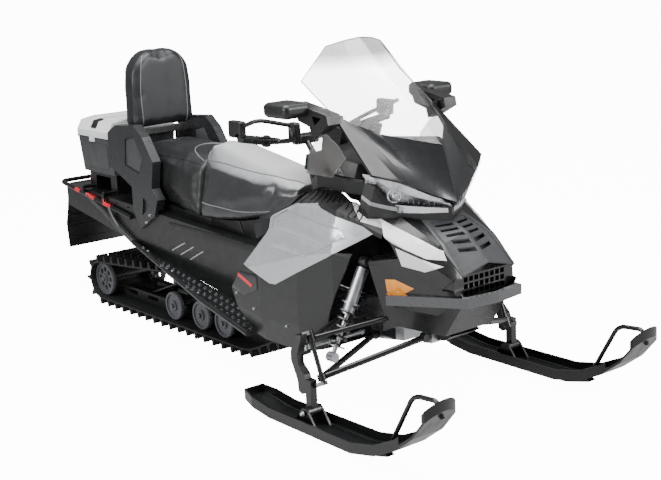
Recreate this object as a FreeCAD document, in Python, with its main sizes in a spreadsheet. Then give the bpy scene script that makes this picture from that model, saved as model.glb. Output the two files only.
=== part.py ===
# A two-seat touring snowmobile: X forward, Y to the rider's left, Z up, millimetres.
# The origin is the middle of its box on the ground, under the lugs and the ski runners.
import FreeCAD, Part
import math
import os
import re
import Sketcher
from FreeCAD import Placement, Rotation, Vector

os.makedirs("parts", exist_ok=True)
doc = FreeCAD.newDocument("Snowmobile")
sizes = doc.addObject("Spreadsheet::Sheet", "Sizes")

# Driving dimensions
SIZES = [
    # overall
    ("reach", 1610, "half of the overall length, to the ski tips and to the flap"),
    ("pin_gap", 0.5, "play round a pin or shaft"),
    ("seat_gap", 0.3, "gap where one piece rests on another"),
    ("panel_gap", 4, "gap between two body panels"),
    ("overrun", 10, "how far a cutting shape runs past what it cuts"),
    # track
    ("track_width", 381, "width of the rubber track"),
    ("belt", 8, "thickness of the track's belt"),
    ("lug", 32, "height of a lug"),
    ("lug_base", 24, "length of a lug along the belt at its root"),
    ("lug_tip", 11, "length of a lug along the belt at its tip"),
    ("lug_pitch", 73, "spacing of the lugs"),
    ("edge_band", 62, "width of the lugs at each edge"),
    ("window_band", 34, "width of the bare strip beside the middle lugs"),
    ("idler_radius", 89, "rear idler wheel"),
    ("drive_radius", 86, "drive sprocket at the belt"),
    ("belt_gap", 2.2, "room under the belt's flat steps where it turns over a wheel"),
    ("bend_radius", 320, "curve of the rail's nose"),
    ("idler_x", -1310, "rear axle, forward of the origin"),
    ("bend_x", -75, "where the ground run ends"),
    ("drive_x", 350, "drive axle"),
    ("drive_z", 290, "drive axle above the ground"),
    # rails and wheels
    ("rail_y", 88, "slide rail from the middle"),
    ("rail_thick", 14, "thickness of a slide rail"),
    ("rail_deep", 58, "height of a slide rail over its runner"),
    ("rail_tail", 70, "how far the rail ends before the rear axle"),
    ("rail_lead", 120, "straight length of the rail's nose"),
    ("bogie_radius", 70, "bogie wheel"),
    ("wheel_width", 24, "width of an idler or bogie wheel"),
    ("wheel_y", 150, "middle of an outer wheel from the middle of the machine"),
    ("tyre", 14, "depth of a wheel's rubber tyre"),
    ("web", 8, "thickness of a wheel's web"),
    ("hub_radius", 24, "hub of a wheel"),
    ("hole_radius", 13, "lightening holes in the idler wheels"),
    ("hole_circle", 48, "circle of the lightening holes"),
    ("axle_radius", 11, "axles of the idler and bogie wheels"),
    ("drive_axle_radius", 19, "drive axle"),
    ("sprocket_y", 66, "drive sprocket from the middle"),
    ("sprocket_width", 30, "width of a drive sprocket"),
    ("tooth", 20, "depth of a sprocket's teeth"),
    # tunnel
    ("tunnel_half", 207, "outer face of the tunnel side"),
    ("sheet", 3, "thickness of the tunnel and board sheets"),
    ("tunnel_front", 440, "front edge of the tunnel"),
    ("tunnel_rear", -1545, "rear edge of the tunnel"),
    ("tunnel_front_z", 520, "top of the tunnel at its front edge"),
    ("tunnel_rear_z", 612, "top of the tunnel at its rear edge"),
    ("tunnel_lip_z", 500, "lower edge of the tunnel's side at the rear"),
    ("tunnel_low_x", 262, "forward end of the side's lower edge"),
    # running boards
    ("board_rear", -880, "where a board tapers out on the tunnel"),
    ("board_out_front", 372, "outer edge at the front from the middle"),
    ("board_out_mid", 338, "outer edge at the step from the middle"),
    ("board_mid_x", -133, "the step in a board's outer edge"),
    ("board_front_z", 210, "top of the board at its front edge"),
    ("board_rear_z", 395, "top of the board at its rear end"),
    ("board_tube", 13, "radius of the tube on a board's outer edge"),
    # skis
    ("ski_y", 538, "ski bolt from the middle, half the stance"),
    ("ski_x", 890, "ski bolt forward of the origin"),
    ("ski_bolt_z", 88, "ski bolt above the ground"),
    ("ski_half", 72, "half the width of a ski"),
    ("ski_sole", 12, "thickness of a ski's sole"),
    ("ski_wall", 9, "thickness of a ski's side walls"),
    ("ski_tail_x", 517, "tail of a ski"),
    ("ski_tail_z", 52, "height of the ski's tail"),
    ("ski_tip_z", 240, "height of the ski's tip"),
    ("ski_wall_z", 30, "height of the side walls over the sole"),
    ("runner_radius", 7, "steel wear bar under the keel"),
    ("keel_half", 17, "half the width of the keel"),
    ("keel_deep", 20, "depth of the keel under the sole"),
    ("keel_rear", 700, "rear end of the keel's flat"),
    ("keel_front", 1190, "front end of the keel's flat"),
    ("ski_bolt_radius", 9, "ski bolt"),
    ("handle_radius", 9, "tube of the ski loop"),
    ("handle_rise", 86, "top of the ski loop above the tip"),
    ("handle_foot", 260, "foot of the ski loop behind the tip"),
    ("saddle_gap", 30, "inner face of a ski's saddle plate from the bolt's middle"),
    ("saddle_thick", 8, "thickness of a saddle plate"),
    ("saddle_half", 70, "half the length of a saddle plate"),
    # spindles and arms
    ("pin_y", 495, "kingpin from the middle"),
    ("pin_top_x", 848, "upper ball joint"),
    ("pin_top_z", 352, "upper ball joint"),
    ("pin_low_x", 903, "lower ball joint"),
    ("pin_low_z", 212, "lower ball joint"),
    ("pin_radius", 9, "kingpin"),
    ("eye_radius", 17, "eye at the outer end of a suspension arm"),
    ("eye_half", 13, "half the height of that eye"),
    ("pin_over", 30, "how far the kingpin runs past each eye"),
    ("forging", 30, "thickness of the spindle forging"),
    ("arm_radius", 12, "tubes of the suspension arms"),
    ("rod_radius", 8, "tie rods"),
    ("rod_ball", 12, "ball joints and eyes of the tie rods"),
    ("eye_high", 18, "height of a tie rod's eye"),
    ("stud_radius", 5.5, "stud through a tie rod's eye"),
    ("tie_x", 770, "tie rod joint on the spindle"),
    ("tie_y", 455, "tie rod joint from the middle"),
    ("tie_z", 290, "tie rod joint above the ground"),
    ("tie_in_y", 180, "inner end of a tie rod from the middle"),
    ("upper_in_y", 152, "inner pivots of the upper arms"),
    ("upper_in_z", 402, "inner pivots of the upper arms"),
    ("upper_front_x", 985, "front inner pivot of an upper arm"),
    ("upper_rear_x", 745, "rear inner pivot of an upper arm"),
    ("lower_in_y", 122, "inner pivots of the lower arms"),
    ("lower_front_z", 318, "front inner pivot of a lower arm above the ground"),
    ("lower_rear_z", 266, "rear inner pivot of a lower arm above the ground"),
    ("lower_front_x", 1070, "front inner pivot of a lower arm"),
    ("lower_rear_x", 775, "rear inner pivot of a lower arm"),
    ("shock_top_x", 870, "top eye of a front shock"),
    ("shock_top_y", 235, "top eye of a front shock from the middle"),
    ("shock_top_z", 600, "top eye of a front shock"),
    ("shock_low_x", 852, "lower eye of a front shock"),
    ("shock_low_y", 400, "lower eye of a front shock from the middle"),
    ("shock_low_z", 258, "lower eye of a front shock"),
    ("shock_radius", 24, "body of a front shock"),
    ("piston_radius", 9, "piston rod of a shock"),
    ("coil_radius", 30, "middle of the coil spring's wire"),
    ("wire_radius", 5, "wire of the coil spring"),
    # rear suspension
    ("front_pivot_x", 60, "front suspension arm's pivot on the tunnel"),
    ("front_pivot_z", 318, "front suspension arm's pivot above the ground"),
    ("front_foot_x", -330, "foot of the front arm on the rails"),
    ("rear_pivot_x", -560, "rear suspension arm's pivot on the tunnel"),
    ("rear_pivot_z", 258, "rear suspension arm's pivot above the ground"),
    ("rear_foot_x", -1010, "foot of the rear arm on the rails"),
    ("foot_z", 88, "feet of the suspension arms above the ground"),
    ("arm_y", 62, "tubes of the rear suspension arms from the middle"),
    ("skid_shock_radius", 26, "body of the rear shock"),
    ("skid_coil_radius", 38, "middle of the rear spring's wire"),
    # body shell
    ("body_rear", 120, "rear end of the body shell"),
    ("body_length", 1310, "length of the body shell"),
    ("body_half", 362, "half the width of the body shell"),
    ("body_low", 205, "underside of the body shell"),
    ("body_height", 730, "height of the body shell"),
    ("wall", 5, "thickness of the body panels"),
    ("bay_front", 505, "front of the bay in which the track turns"),
    ("side_in", 190, "how near the middle a side panel reaches"),
    ("deck_half", 128, "half the width of the nose deck at its front edge"),
    ("grille_rear", 1080, "rear edge of the nose deck"),
    ("grille_front", 1300, "front edge of the nose deck"),
    ("mouth_top", 570, "lowest place that the deck's outline reaches"),
    ("mouth_rear", 1200, "rear face of the mouth's insert"),
    ("mouth_front", 1266, "front face of the mouth's insert"),
    ("slot_high", 14, "width of a slot in the grille"),
    ("slot_step", 30, "spacing of the slots"),
    # cowl, windscreen and lamps
    ("screen_thick", 5, "thickness of the clear screen"),
    ("cowl_thick", 6, "thickness of the gloss cowl"),
    ("pillar_x", 746, "upper end of the cowl's pillar"),
    ("pillar_y", 250, "upper end of the cowl's pillar from the middle"),
    ("pillar_z", 1148, "upper end of the cowl's pillar"),
    ("screen_foot_x", 1062, "foot of the screen at the middle"),
    ("screen_foot_z", 1035, "foot of the screen at the middle"),
    ("screen_top_x", 610, "top of the screen at the middle"),
    ("screen_top_z", 1420, "top of the screen at the middle"),
    ("screen_corner_x", 573, "upper corner of the screen"),
    ("screen_corner_y", 141, "upper corner of the screen from the middle"),
    ("screen_corner_z", 1395, "upper corner of the screen"),
    ("screen_wing_x", 557, "widest corner of the screen"),
    ("screen_wing_y", 257, "widest corner of the screen from the middle"),
    ("screen_wing_z", 1270, "widest corner of the screen"),
    ("cowl_tip_x", 1134, "tip of the cowl over the lamps"),
    ("cowl_tip_z", 828, "tip of the cowl over the lamps"),
    ("cowl_side_x", 985, "outer corner of the cowl over a lamp"),
    ("cowl_side_y", 282, "outer corner of the cowl over a lamp, from the middle"),
    ("cowl_side_z", 952, "outer corner of the cowl over a lamp"),
    ("lamp_deep", 58, "depth of a lamp's lens"),
    ("lamp_gap", 16, "half the gap between the lamps at the tip"),
    # seats
    ("seat_half", 200, "half the width of the seat's skirt"),
    ("seat_front", 300, "front end of the rider's seat"),
    ("seat_split", -335, "where the rider's seat meets the passenger's"),
    ("seat_rear", -850, "rear end of the passenger's seat"),
    ("seat_base", 590, "underside of the seat at the split"),
    ("seat_crest", 938, "crest of the rider's seat"),
    ("pad_half", 178, "half the width of the backrest"),
    ("pad_x", -862, "front face of the backrest"),
    ("pad_thick", 105, "thickness of the backrest"),
    ("pad_low", 936, "lower edge of the backrest"),
    ("pad_top", 1325, "top of the backrest"),
    ("pad_round", 110, "rounding of the backrest's corners"),
    ("post_radius", 12, "posts of the backrest"),
    ("post_y", 95, "posts of the backrest from the middle"),
    # box, rack and flap
    ("box_rear", -1400, "rear face of the cargo box"),
    ("box_front", -1095, "front face of the cargo box"),
    ("box_half", 190, "half the width of the cargo box"),
    ("box_low", 694, "underside of the cargo box"),
    ("box_rim", 878, "rim of the cargo box"),
    ("box_top", 965, "top of the lid"),
    ("box_wall", 5, "wall of the cargo box"),
    ("box_taper", 20, "how much the box narrows to its floor on each side"),
    ("lid_overlap", 3, "how far the lid stands out over the box"),
    ("hinge_radius", 5, "hinge pin of the lid"),
    ("rack_tube", 11, "tubes of the rack"),
    ("rack_rear", -1590, "rear end of the rack"),
    ("rack_front", -885, "front end of the rack"),
    ("rack_rear_z", 620, "rear end of the rack above the ground"),
    ("rack_front_z", 522, "front end of the rack above the ground"),
    ("flap_half", 195, "half the width of the snow flap"),
    ("flap_thick", 5, "thickness of the snow flap"),
    ("flap_low", 262, "lower edge of the snow flap"),
    ("guard_in", 179, "inner face of a passenger guard from the middle"),
    ("guard_out", 224, "outer face of a passenger guard from the middle"),
    ("guard_rear", -1050, "rear end of a passenger guard"),
    ("guard_length", 425, "length of a passenger guard"),
    ("guard_low", 480, "foot of a passenger guard"),
    ("guard_height", 498, "height of a passenger guard"),
    # controls
    ("column_low_x", 520, "lower end of the steering column"),
    ("column_low_z", 640, "lower end of the steering column"),
    ("bar_x", 235, "middle of the handlebar"),
    ("bar_z", 985, "middle of the handlebar"),
    ("column_radius", 13, "steering column"),
    ("bar_radius", 11, "handlebar tube"),
    ("grip_radius", 17, "grips"),
    ("bar_end_y", 385, "end of the handlebar from the middle"),
    ("bar_end_x", 318, "end of the handlebar"),
    ("bar_end_z", 1040, "end of the handlebar above the ground"),
    ("mirror_x", 609, "middle of a mirror's head"),
    ("mirror_y", 373, "middle of a mirror's head from the middle"),
    ("mirror_z", 1176, "middle of a mirror's head"),
    ("mirror_long", 150, "length of a mirror's head"),
    ("mirror_wide", 128, "width of a mirror's head"),
    ("mirror_high", 58, "height of a mirror's head"),
    ("mirror_foot", 24, "foot of a mirror's arm on the cowl"),
    # bumper
    ("bumper_x", 1340, "front of the bumper at the middle"),
    ("bumper_corner_x", 1322, "front corner of the bumper"),
    ("bumper_corner_y", 140, "front corner of the bumper from the middle"),
    ("bumper_z", 500, "middle of the bumper"),
    ("bumper_rear_x", 985, "rear end of the bumper"),
    ("bumper_rear_y", 238, "rear end of the bumper from the middle"),
    ("bumper_rear_z", 470, "rear end of the bumper"),
    ("bumper_high", 38, "height of the bumper's bar"),
    ("bumper_thick", 22, "thickness of the bumper's bar"),
    # engine
    ("engine_rear", 562, "rear face of the engine block"),
    ("engine_long", 250, "length of the engine block"),
    ("engine_half", 124, "half the width of the engine block"),
    ("engine_high", 270, "height of the engine block"),
    ("frame_rear", 735, "rear face of the bulkhead"),
    ("frame_long", 352, "length of the bulkhead"),
    ("frame_low", 240, "underside of the bulkhead"),
    ("frame_top", 432, "top of the bulkhead"),
    # dash
    ("dash_rear", 455, "rear end of the dash"),
    ("dash_length", 470, "length of the dash"),
    ("dash_half", 290, "half the width of the dash"),
    ("dash_low", 800, "underside of the dash at its rear end"),
    ("dash_height", 240, "height of the dash"),
    ("dial_half", 105, "half the width of the instrument"),
    ("shield_thick", 4, "thickness of a clear side deflector"),
]
for number, (alias, value, note) in enumerate(SIZES, start=1):
    sizes.set("A%d" % number, note)
    sizes.set("B%d" % number, str(value))
    sizes.setAlias("B%d" % number, alias)
doc.recompute()


# Sums of named sizes
def bound(text):
    """A sum of named sizes, as the document's expressions spell it."""
    return re.sub(r"[a-z_]{3,}", lambda name: "Sizes." + name.group(0), str(text))


def mm(text):
    """The value of a sum of named sizes."""
    return float(sizes.evalExpression(bound(text)))


def spot(forward, left, up):
    """A point from three sums of named sizes."""
    return Vector(mm(forward), mm(left), mm(up))


# Sketches and the shapes drawn from them
STANDING = {
    "XZ": (Rotation(Vector(1, 0, 0), 90), "y"),
    "YZ": (Rotation(Vector(1, 1, 1), 120), "x"),
    "XY": (Rotation(), "z"),
}


def profile(name, plane, at, points):
    """A closed outline with straight sides; every corner is bound to named sizes."""
    sketch = doc.addObject("Sketcher::SketchObject", name)
    turn, normal = STANDING[plane]
    sketch.Placement = Placement(Vector(), turn)
    sketch.setExpression("Placement.Base." + normal, bound(at))
    places = [(mm(across), mm(up)) for across, up in points]
    for start, end in zip(places, places[1:] + places[:1]):
        sketch.addGeometry(Part.LineSegment(Vector(*start, 0), Vector(*end, 0)))
    count = len(points)
    for side in range(count):
        sketch.addConstraint(Sketcher.Constraint("Coincident", side, 2, (side + 1) % count, 1))
    for corner, (place, texts) in enumerate(zip(places, points)):
        for kind, value, text in zip(("DistanceX", "DistanceY"), place, texts):
            ends = (-1, 1, corner, 1) if value >= 0 else (corner, 1, -1, 1)
            number = sketch.addConstraint(Sketcher.Constraint(kind, *ends, abs(value)))
            sign = "" if value >= 0 else "-"
            sketch.setExpression("Constraints[%d]" % number, "%s(%s)" % (sign, bound(text)))
    return sketch


def in_box(corner, span, shares):
    """Outline points given as shares of a named box."""
    return [("%s + (%s) * %g" % (corner[0], span[0], across),
             "%s + (%s) * %g" % (corner[1], span[1], up)) for across, up in shares]


def extrude(name, sketch, length):
    """A solid drawn out of a sketch, square to its plane."""
    solid = doc.addObject("Part::Extrusion", name)
    solid.Base = sketch
    solid.DirMode = "Custom"
    turn = sketch.Placement.Rotation
    drawn = turn.multVec(Vector(0, 0, 1))
    solid.Dir = Vector(abs(drawn.x), abs(drawn.y), abs(drawn.z))
    solid.Solid = True
    solid.setExpression("LengthFwd", bound(length))
    return solid


def prism(name, plane, start, length, points):
    """A straight-sided outline drawn out from start over length."""
    return extrude(name, profile(name + "_outline", plane, start, points), length)


def boolean(kind, name, base, tool):
    """Cut, Fuse or Common of two shapes."""
    result = doc.addObject("Part::" + kind, name)
    result.Base = base
    result.Tool = tool
    return result


def together(name, shapes, fused=True):
    """Several shapes as one node, fused or side by side."""
    result = doc.addObject("Part::MultiFuse" if fused else "Part::Compound", name)
    if fused:
        result.Shapes = shapes
    else:
        result.Links = shapes
    return result


def mirrored(name, source):
    """The same shape on the other side of the machine."""
    result = doc.addObject("Part::Mirroring", name)
    result.Source = source
    result.Normal = Vector(0, 1, 0)
    return result


def both_sides(name, source, fused=False):
    """A shape and its mirror image as one node."""
    return together(name, [source, mirrored(name + "_other", source)], fused)


def cylinder(name, radius, length, forward, left, up, along="Y"):
    """A round bar that starts at a point and runs along an axis."""
    bar = doc.addObject("Part::Cylinder", name)
    bar.setExpression("Radius", bound(radius))
    bar.setExpression("Height", bound(length))
    turns = {"Y": Rotation(Vector(1, 0, 0), -90), "X": Rotation(Vector(0, 1, 0), 90), "Z": Rotation()}
    bar.Placement = Placement(Vector(), turns[along])
    for axis, text in zip("xyz", (forward, left, up)):
        bar.setExpression("Placement.Base." + axis, bound(text))
    return bar


def block(name, forward, left, up, long, wide, high):
    """A box from its low corner and its three sides."""
    box = doc.addObject("Part::Box", name)
    for side, text in (("Length", long), ("Width", wide), ("Height", high)):
        box.setExpression(side, bound(text))
    for axis, text in zip("xyz", (forward, left, up)):
        box.setExpression("Placement.Base." + axis, bound(text))
    return box


def shaped(name, shape):
    """A sub-part whose form no standard feature makes."""
    feature = doc.addObject("Part::Feature", name)
    feature.Shape = shape
    return feature


def bent_tube(route, radius, bends):
    """A round bar along straight runs with an arc of its own radius at each corner."""
    path = []
    last = route[0]
    for before, corner, after, bend in zip(route, route[1:], route[2:], bends):
        back = (before - corner).normalize()
        ahead = (after - corner).normalize()
        half_turn = (math.pi - back.getAngle(ahead)) / 2
        reach = bend * math.tan(half_turn)
        middle = (back + ahead).normalize()
        start, end = corner + back * reach, corner + ahead * reach
        top = corner + middle * (bend / math.cos(half_turn) - bend)
        if start.distanceToPoint(last) > mm("pin_gap") / 10:
            path.append(Part.LineSegment(last, start).toShape())
        path.append(Part.Arc(start, top, end).toShape())
        last = end
    path.append(Part.LineSegment(last, route[-1]).toShape())
    ring = Part.Wire(Part.Circle(route[0], route[1] - route[0], radius).toShape())
    return Part.Wire(path).makePipeShell([ring], True, True)


def bar_between(start, end, radius):
    """A straight round bar between two points."""
    return Part.makeCylinder(radius, start.distanceToPoint(end), start, end - start)


def shifted(rows, shift):
    """Rows of points moved by one vector."""
    return [[place + shift for place in row] for row in rows]


def slab(rows, inner):
    """A solid between two sheets given by rows of points; its sides are closed."""
    faces = []

    def cover(a, b, c, d):
        faces.append(Part.makeRuledSurface(Part.makeLine(a, b), Part.makeLine(d, c)))

    for grid in (rows, inner):
        for low, high in zip(grid, grid[1:]):
            for a, b, c, d in zip(low, low[1:], high[1:], high):
                cover(a, b, c, d)
    outer_edges = [rows[0], rows[-1], [row[0] for row in rows], [row[-1] for row in rows]]
    inner_edges = [inner[0], inner[-1], [row[0] for row in inner], [row[-1] for row in inner]]
    for outside, inside in zip(outer_edges, inner_edges):
        for a, b, c, d in zip(outside, outside[1:], inside[1:], inside):
            cover(a, b, c, d)
    shell = Part.makeShell(faces)
    shell.sewShape()
    solid = Part.Solid(Part.Shell(shell.Faces))
    if solid.Volume < 0:
        solid.reverse()
    return solid


def across(half_row):
    """A row of points from the right edge over the middle to the left edge."""
    return [Vector(p.x, -p.y, p.z) for p in half_row] + [p for p in reversed(half_row) if abs(p.y) > 0]


PIECES = []


def piece(label, feature):
    """Name a finished sub-part; the label is also the name of its file."""
    feature.Label = label
    PIECES.append(feature)
    return feature


# The track: one closed loop over idlers, rail nose and sprockets
def loop_circles(grow):
    """Centre, radius of the three curves that the loop runs round, grown by grow."""
    low = mm("belt + lug")
    return [
        (Vector(mm("idler_x"), 0, low + mm("idler_radius")), mm("idler_radius") + grow),
        (Vector(mm("bend_x"), 0, low + mm("bend_radius")), mm("bend_radius") + grow),
        (Vector(mm("drive_x"), 0, mm("drive_z")), mm("drive_radius") + grow),
    ]


def tangent_heading(first, second):
    """Heading of the run from one curve to the next, with both on its left."""
    gap = second[0] - first[0]
    return math.atan2(gap.z, gap.x) + math.asin((first[1] - second[1]) / gap.Length)


def loop_runs(grow):
    """The loop's straight runs and curves in order: (kind, data, length)."""
    circles = loop_circles(grow)
    count = len(circles)
    headings = [tangent_heading(circles[i], circles[(i + 1) % count]) for i in range(count)]
    runs = []
    for i in range(count):
        centre, radius = circles[i]
        turn = (headings[i] - headings[i - 1]) % (2 * math.pi)
        runs.append(("curve", (centre, radius, headings[i - 1]), radius * turn))
        start = centre + heading_right(headings[i]) * radius
        after, wide = circles[(i + 1) % count]
        end = after + heading_right(headings[i]) * wide
        runs.append(("run", (start, end), start.distanceToPoint(end)))
    return runs


def heading_right(heading):
    """Outward direction of the loop at a heading."""
    return Vector(math.sin(heading), 0, -math.cos(heading))


def loop_place(runs, travel):
    """Point and outward direction of the loop after a length of travel."""
    for kind, data, length in runs:
        if travel <= length:
            break
        travel -= length
    if kind == "curve":
        centre, radius, heading = data
        outward = heading_right(heading + travel / radius)
        return centre + outward * radius, outward
    start, end = data
    ahead = (end - start).normalize()
    return start + ahead * travel, Vector(ahead.z, 0, -ahead.x)


def loop_face(outline):
    """A flat face inside a list of points in the middle plane."""
    return Part.Face(Part.makePolygon(outline + outline[:1]))


def track_shape():
    """Belt with three rows of lugs; the middle row is set half a pitch ahead."""
    inner_runs, outer_runs = loop_runs(0), loop_runs(mm("belt"))
    length = sum(run[2] for run in outer_runs)
    inside_length = sum(run[2] for run in inner_runs)
    count = round(length / mm("lug_pitch"))
    pitch = length / count
    steps = 3
    hole = [loop_place(inner_runs, inside_length * i / (2 * count))[0] for i in range(2 * count)]
    lug_shares = ((-0.5, 0, "lug_base"), (-0.5, 1, "lug_tip"), (0.5, 1, "lug_tip"), (0.5, 0, "lug_base"))

    def band(phase, lugs):
        outline = []
        for number in range(count):
            middle = (number + phase) * pitch
            if lugs:
                for side, rise, wide in lug_shares:
                    foot, outward = loop_place(outer_runs, middle % length)
                    along = Vector(-outward.z, 0, outward.x)
                    base, turned = loop_place(outer_runs, (middle + side * mm(wide)) % length)
                    top = foot + outward * mm("lug") + along * (side * mm(wide))
                    outline.append(top if rise else base)
            else:
                outline.append(loop_place(outer_runs, middle % length)[0])
            for step in range(1, steps):
                outline.append(loop_place(outer_runs, (middle + pitch * step / steps) % length)[0])
        return loop_face(outline).cut(loop_face(hole))

    half = mm("track_width") / 2
    edge, bare = mm("edge_band"), mm("window_band")
    bands = [(-half, edge, 0, True), (-half + edge, bare, 0, False),
             (-half + edge + bare, 2 * (half - edge - bare), 0.5, True),
             (half - edge - bare, bare, 0, False), (half - edge, edge, 0, True)]
    solids = []
    for start, wide, phase, lugs in bands:
        face = band(phase, lugs)
        face.translate(Vector(0, start, 0))
        solids.append(face.extrude(Vector(0, wide, 0)))
    print("track loop length", round(length), "lugs in a row", count)
    return solids[0].multiFuse(solids[1:])


piece("track", shaped("Track", track_shape()))


# Wheels, rails and the rear suspension
def wheel_shape(radius, holes):
    """A wheel lying in the XZ plane: rubber tyre, thin web and hub, with round holes."""
    wide, web, hub = mm("wheel_width") / 2, mm("web") / 2, mm("hub_radius")
    bore = mm("axle_radius")
    rim = radius - mm("tyre")
    half_profile = [(bore, wide), (hub, wide), (hub, web), (rim, web), (rim, wide),
                    (radius - mm("tyre") / 4, wide), (radius, wide / 2)]
    outline = [Vector(r, y, 0) for r, y in half_profile]
    outline += [Vector(r, -y, 0) for r, y in reversed(half_profile)]
    body = Part.Face(Part.makePolygon(outline + outline[:1])).revolve(Vector(), Vector(0, 1, 0), 360)
    for number in range(holes):
        angle = 2 * math.pi * number / holes
        middle = Vector(math.cos(angle), 0, math.sin(angle)) * mm("hole_circle")
        drill = Part.makeCylinder(mm("hole_radius"), 2 * wide, middle - Vector(0, wide, 0), Vector(0, 1, 0))
        body = body.cut(drill)
    return body


def wheel_set(wheel, places, axle_radius, reach):
    """Wheels on their axles, fused: places holds (forward, up, list of y)."""
    solids = []
    for forward, up, rows in places:
        axle = Part.makeCylinder(axle_radius, 2 * reach, Vector(forward, -reach, up), Vector(0, 1, 0))
        for y in rows:
            copy = wheel.copy()
            copy.translate(Vector(forward, y, up))
            axle = axle.fuse(copy)
        solids.append(axle)
    return Part.makeCompound(solids)


idler_z = mm("belt + lug + idler_radius")
outer_wheels = [-mm("wheel_y"), mm("wheel_y")]
idlers = wheel_set(wheel_shape(mm("idler_radius - belt_gap"), 8), [(mm("idler_x"), idler_z, outer_wheels)],
                   mm("axle_radius"), mm("wheel_y + wheel_width"))
piece("rear_idlers", shaped("Idlers", idlers))

BOGIE_SHARES = (0.125, 0.53, 0.72, 0.87)
bogie_z = mm("belt + lug + bogie_radius + seat_gap")
bogie_places = [(mm("idler_x + (bend_x - idler_x) * %g" % share), bogie_z, outer_wheels)
                for share in BOGIE_SHARES[1:]]
bogies = wheel_set(wheel_shape(mm("bogie_radius"), 0), bogie_places,
                   mm("axle_radius"), mm("wheel_y + wheel_width"))
piece("bogie_wheels", shaped("Bogies", bogies))


def rail_shape(side):
    """A slide rail: straight over the ground run, curved up at the nose."""
    low = mm("belt + lug + seat_gap * 3")
    centre, radius = Vector(mm("bend_x"), 0, low + mm("bend_radius")), mm("bend_radius")
    tail = mm("idler_x + rail_tail")
    circles = loop_circles(0)
    heading = tangent_heading(circles[1], circles[2])
    steps = 8
    outer, inner = [], []
    for step in range(steps + 1):
        outward = heading_right(heading * step / steps)
        outer.append(centre + outward * radius)
        inner.append(centre + outward * (radius - mm("rail_deep")))
    ahead = Vector(math.cos(heading), 0, math.sin(heading))
    outer.append(outer[-1] + ahead * mm("rail_lead"))
    inner.append(inner[-1] + ahead * mm("rail_lead") / 2)
    rear = [Vector(tail, 0, low + mm("rail_deep")), Vector(tail, 0, low + mm("rail_deep") / 3),
            Vector(tail + mm("rail_deep") / 2, 0, low)]
    face = Part.Face(Part.makePolygon(rear + outer + inner[::-1] + rear[:1]))
    face.translate(Vector(0, side * mm("rail_y") - mm("rail_thick") / 2, 0))
    rail = face.extrude(Vector(0, mm("rail_thick"), 0))
    openings = 6
    for number in range(openings):
        middle = tail + (mm("bend_x") - tail) * (number + 0.5) / openings
        rail = rail.cut(Part.makeBox(mm("rail_deep * 1.6"), 2 * mm("rail_thick"), mm("rail_deep") / 3,
                                     Vector(middle - mm("rail_deep * 0.8"), side * mm("rail_y") - mm("rail_thick"),
                                            low + mm("rail_deep * 0.45"))))
    return rail


rail_cuts = [Part.makeCylinder(mm("axle_radius + pin_gap"), 2 * mm("tunnel_half"),
                               Vector(x, -mm("tunnel_half"), z), Vector(0, 1, 0)) for x, z, _ in bogie_places]
rails = [rail_shape(side).cut(Part.makeCompound(rail_cuts)) for side in (-1, 1)]
piece("slide_rails", shaped("Rails", Part.makeCompound(rails)))


def suspension_arm(pivot, foot):
    """Two tubes with a cross tube at the tunnel and one between the rails."""
    wide, reach = mm("tunnel_half - sheet - seat_gap"), mm("rail_y - rail_thick / 2 - seat_gap")
    radius = mm("arm_radius")
    arm = Part.makeCylinder(radius, 2 * wide, pivot - Vector(0, wide, 0), Vector(0, 1, 0))
    arm = arm.fuse(Part.makeCylinder(radius, 2 * reach, foot - Vector(0, reach, 0), Vector(0, 1, 0)))
    for side in (-1, 1):
        shift = Vector(0, side * mm("arm_y"), 0)
        arm = arm.fuse(bar_between(pivot + shift, foot + shift, radius * 0.8))
    return arm


front_pivot, front_foot = spot("front_pivot_x", 0, "front_pivot_z"), spot("front_foot_x", 0, "foot_z")
shock_share = 0.7
skid_low = front_pivot + (front_foot - front_pivot) * shock_share
shock_bar = Part.makeCylinder(mm("arm_radius"), 2 * mm("arm_y"), skid_low - Vector(0, mm("arm_y"), 0), Vector(0, 1, 0))
front_arm = suspension_arm(front_pivot, front_foot).fuse(shock_bar)
rear_arm = suspension_arm(spot("rear_pivot_x", 0, "rear_pivot_z"), spot("rear_foot_x", 0, "foot_z"))
piece("rear_suspension", shaped("RearArms", Part.makeCompound([front_arm, rear_arm])))


# Tunnel: a folded sheet open below and behind
tunnel_top = [("tunnel_front", "tunnel_front_z"), ("tunnel_rear", "tunnel_rear_z")]
tunnel_side = tunnel_top + [
    ("tunnel_rear", "tunnel_lip_z"),
    ("board_rear", "board_rear_z"),
    ("tunnel_low_x", "board_front_z"),
    ("tunnel_front", "drive_z - drive_axle_radius * 2"),
]
tunnel_room = [
    ("tunnel_front + overrun", "tunnel_front_z - sheet"), ("tunnel_rear - overrun", "tunnel_rear_z - sheet"),
    ("tunnel_rear - overrun", 0), ("tunnel_front + overrun", 0),
]
tunnel_hull = prism("TunnelHull", "XZ", "-tunnel_half", "2 * tunnel_half", tunnel_side)
tunnel_hollow = prism("TunnelHollow", "XZ", "-(tunnel_half - sheet)", "2 * (tunnel_half - sheet)", tunnel_room)
tunnel_fold = boolean("Cut", "TunnelFold", tunnel_hull, tunnel_hollow)
drive_hole = cylinder("TunnelAxleHole", "drive_axle_radius + pin_gap", "2 * tunnel_half + 2 * overrun",
                      "drive_x", "-(tunnel_half + overrun)", "drive_z")
tunnel_sheet = boolean("Cut", "TunnelSheet", tunnel_fold, drive_hole)
column_low, bar_middle = spot("column_low_x", 0, "column_low_z"), spot("bar_x", 0, "bar_z")


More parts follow.
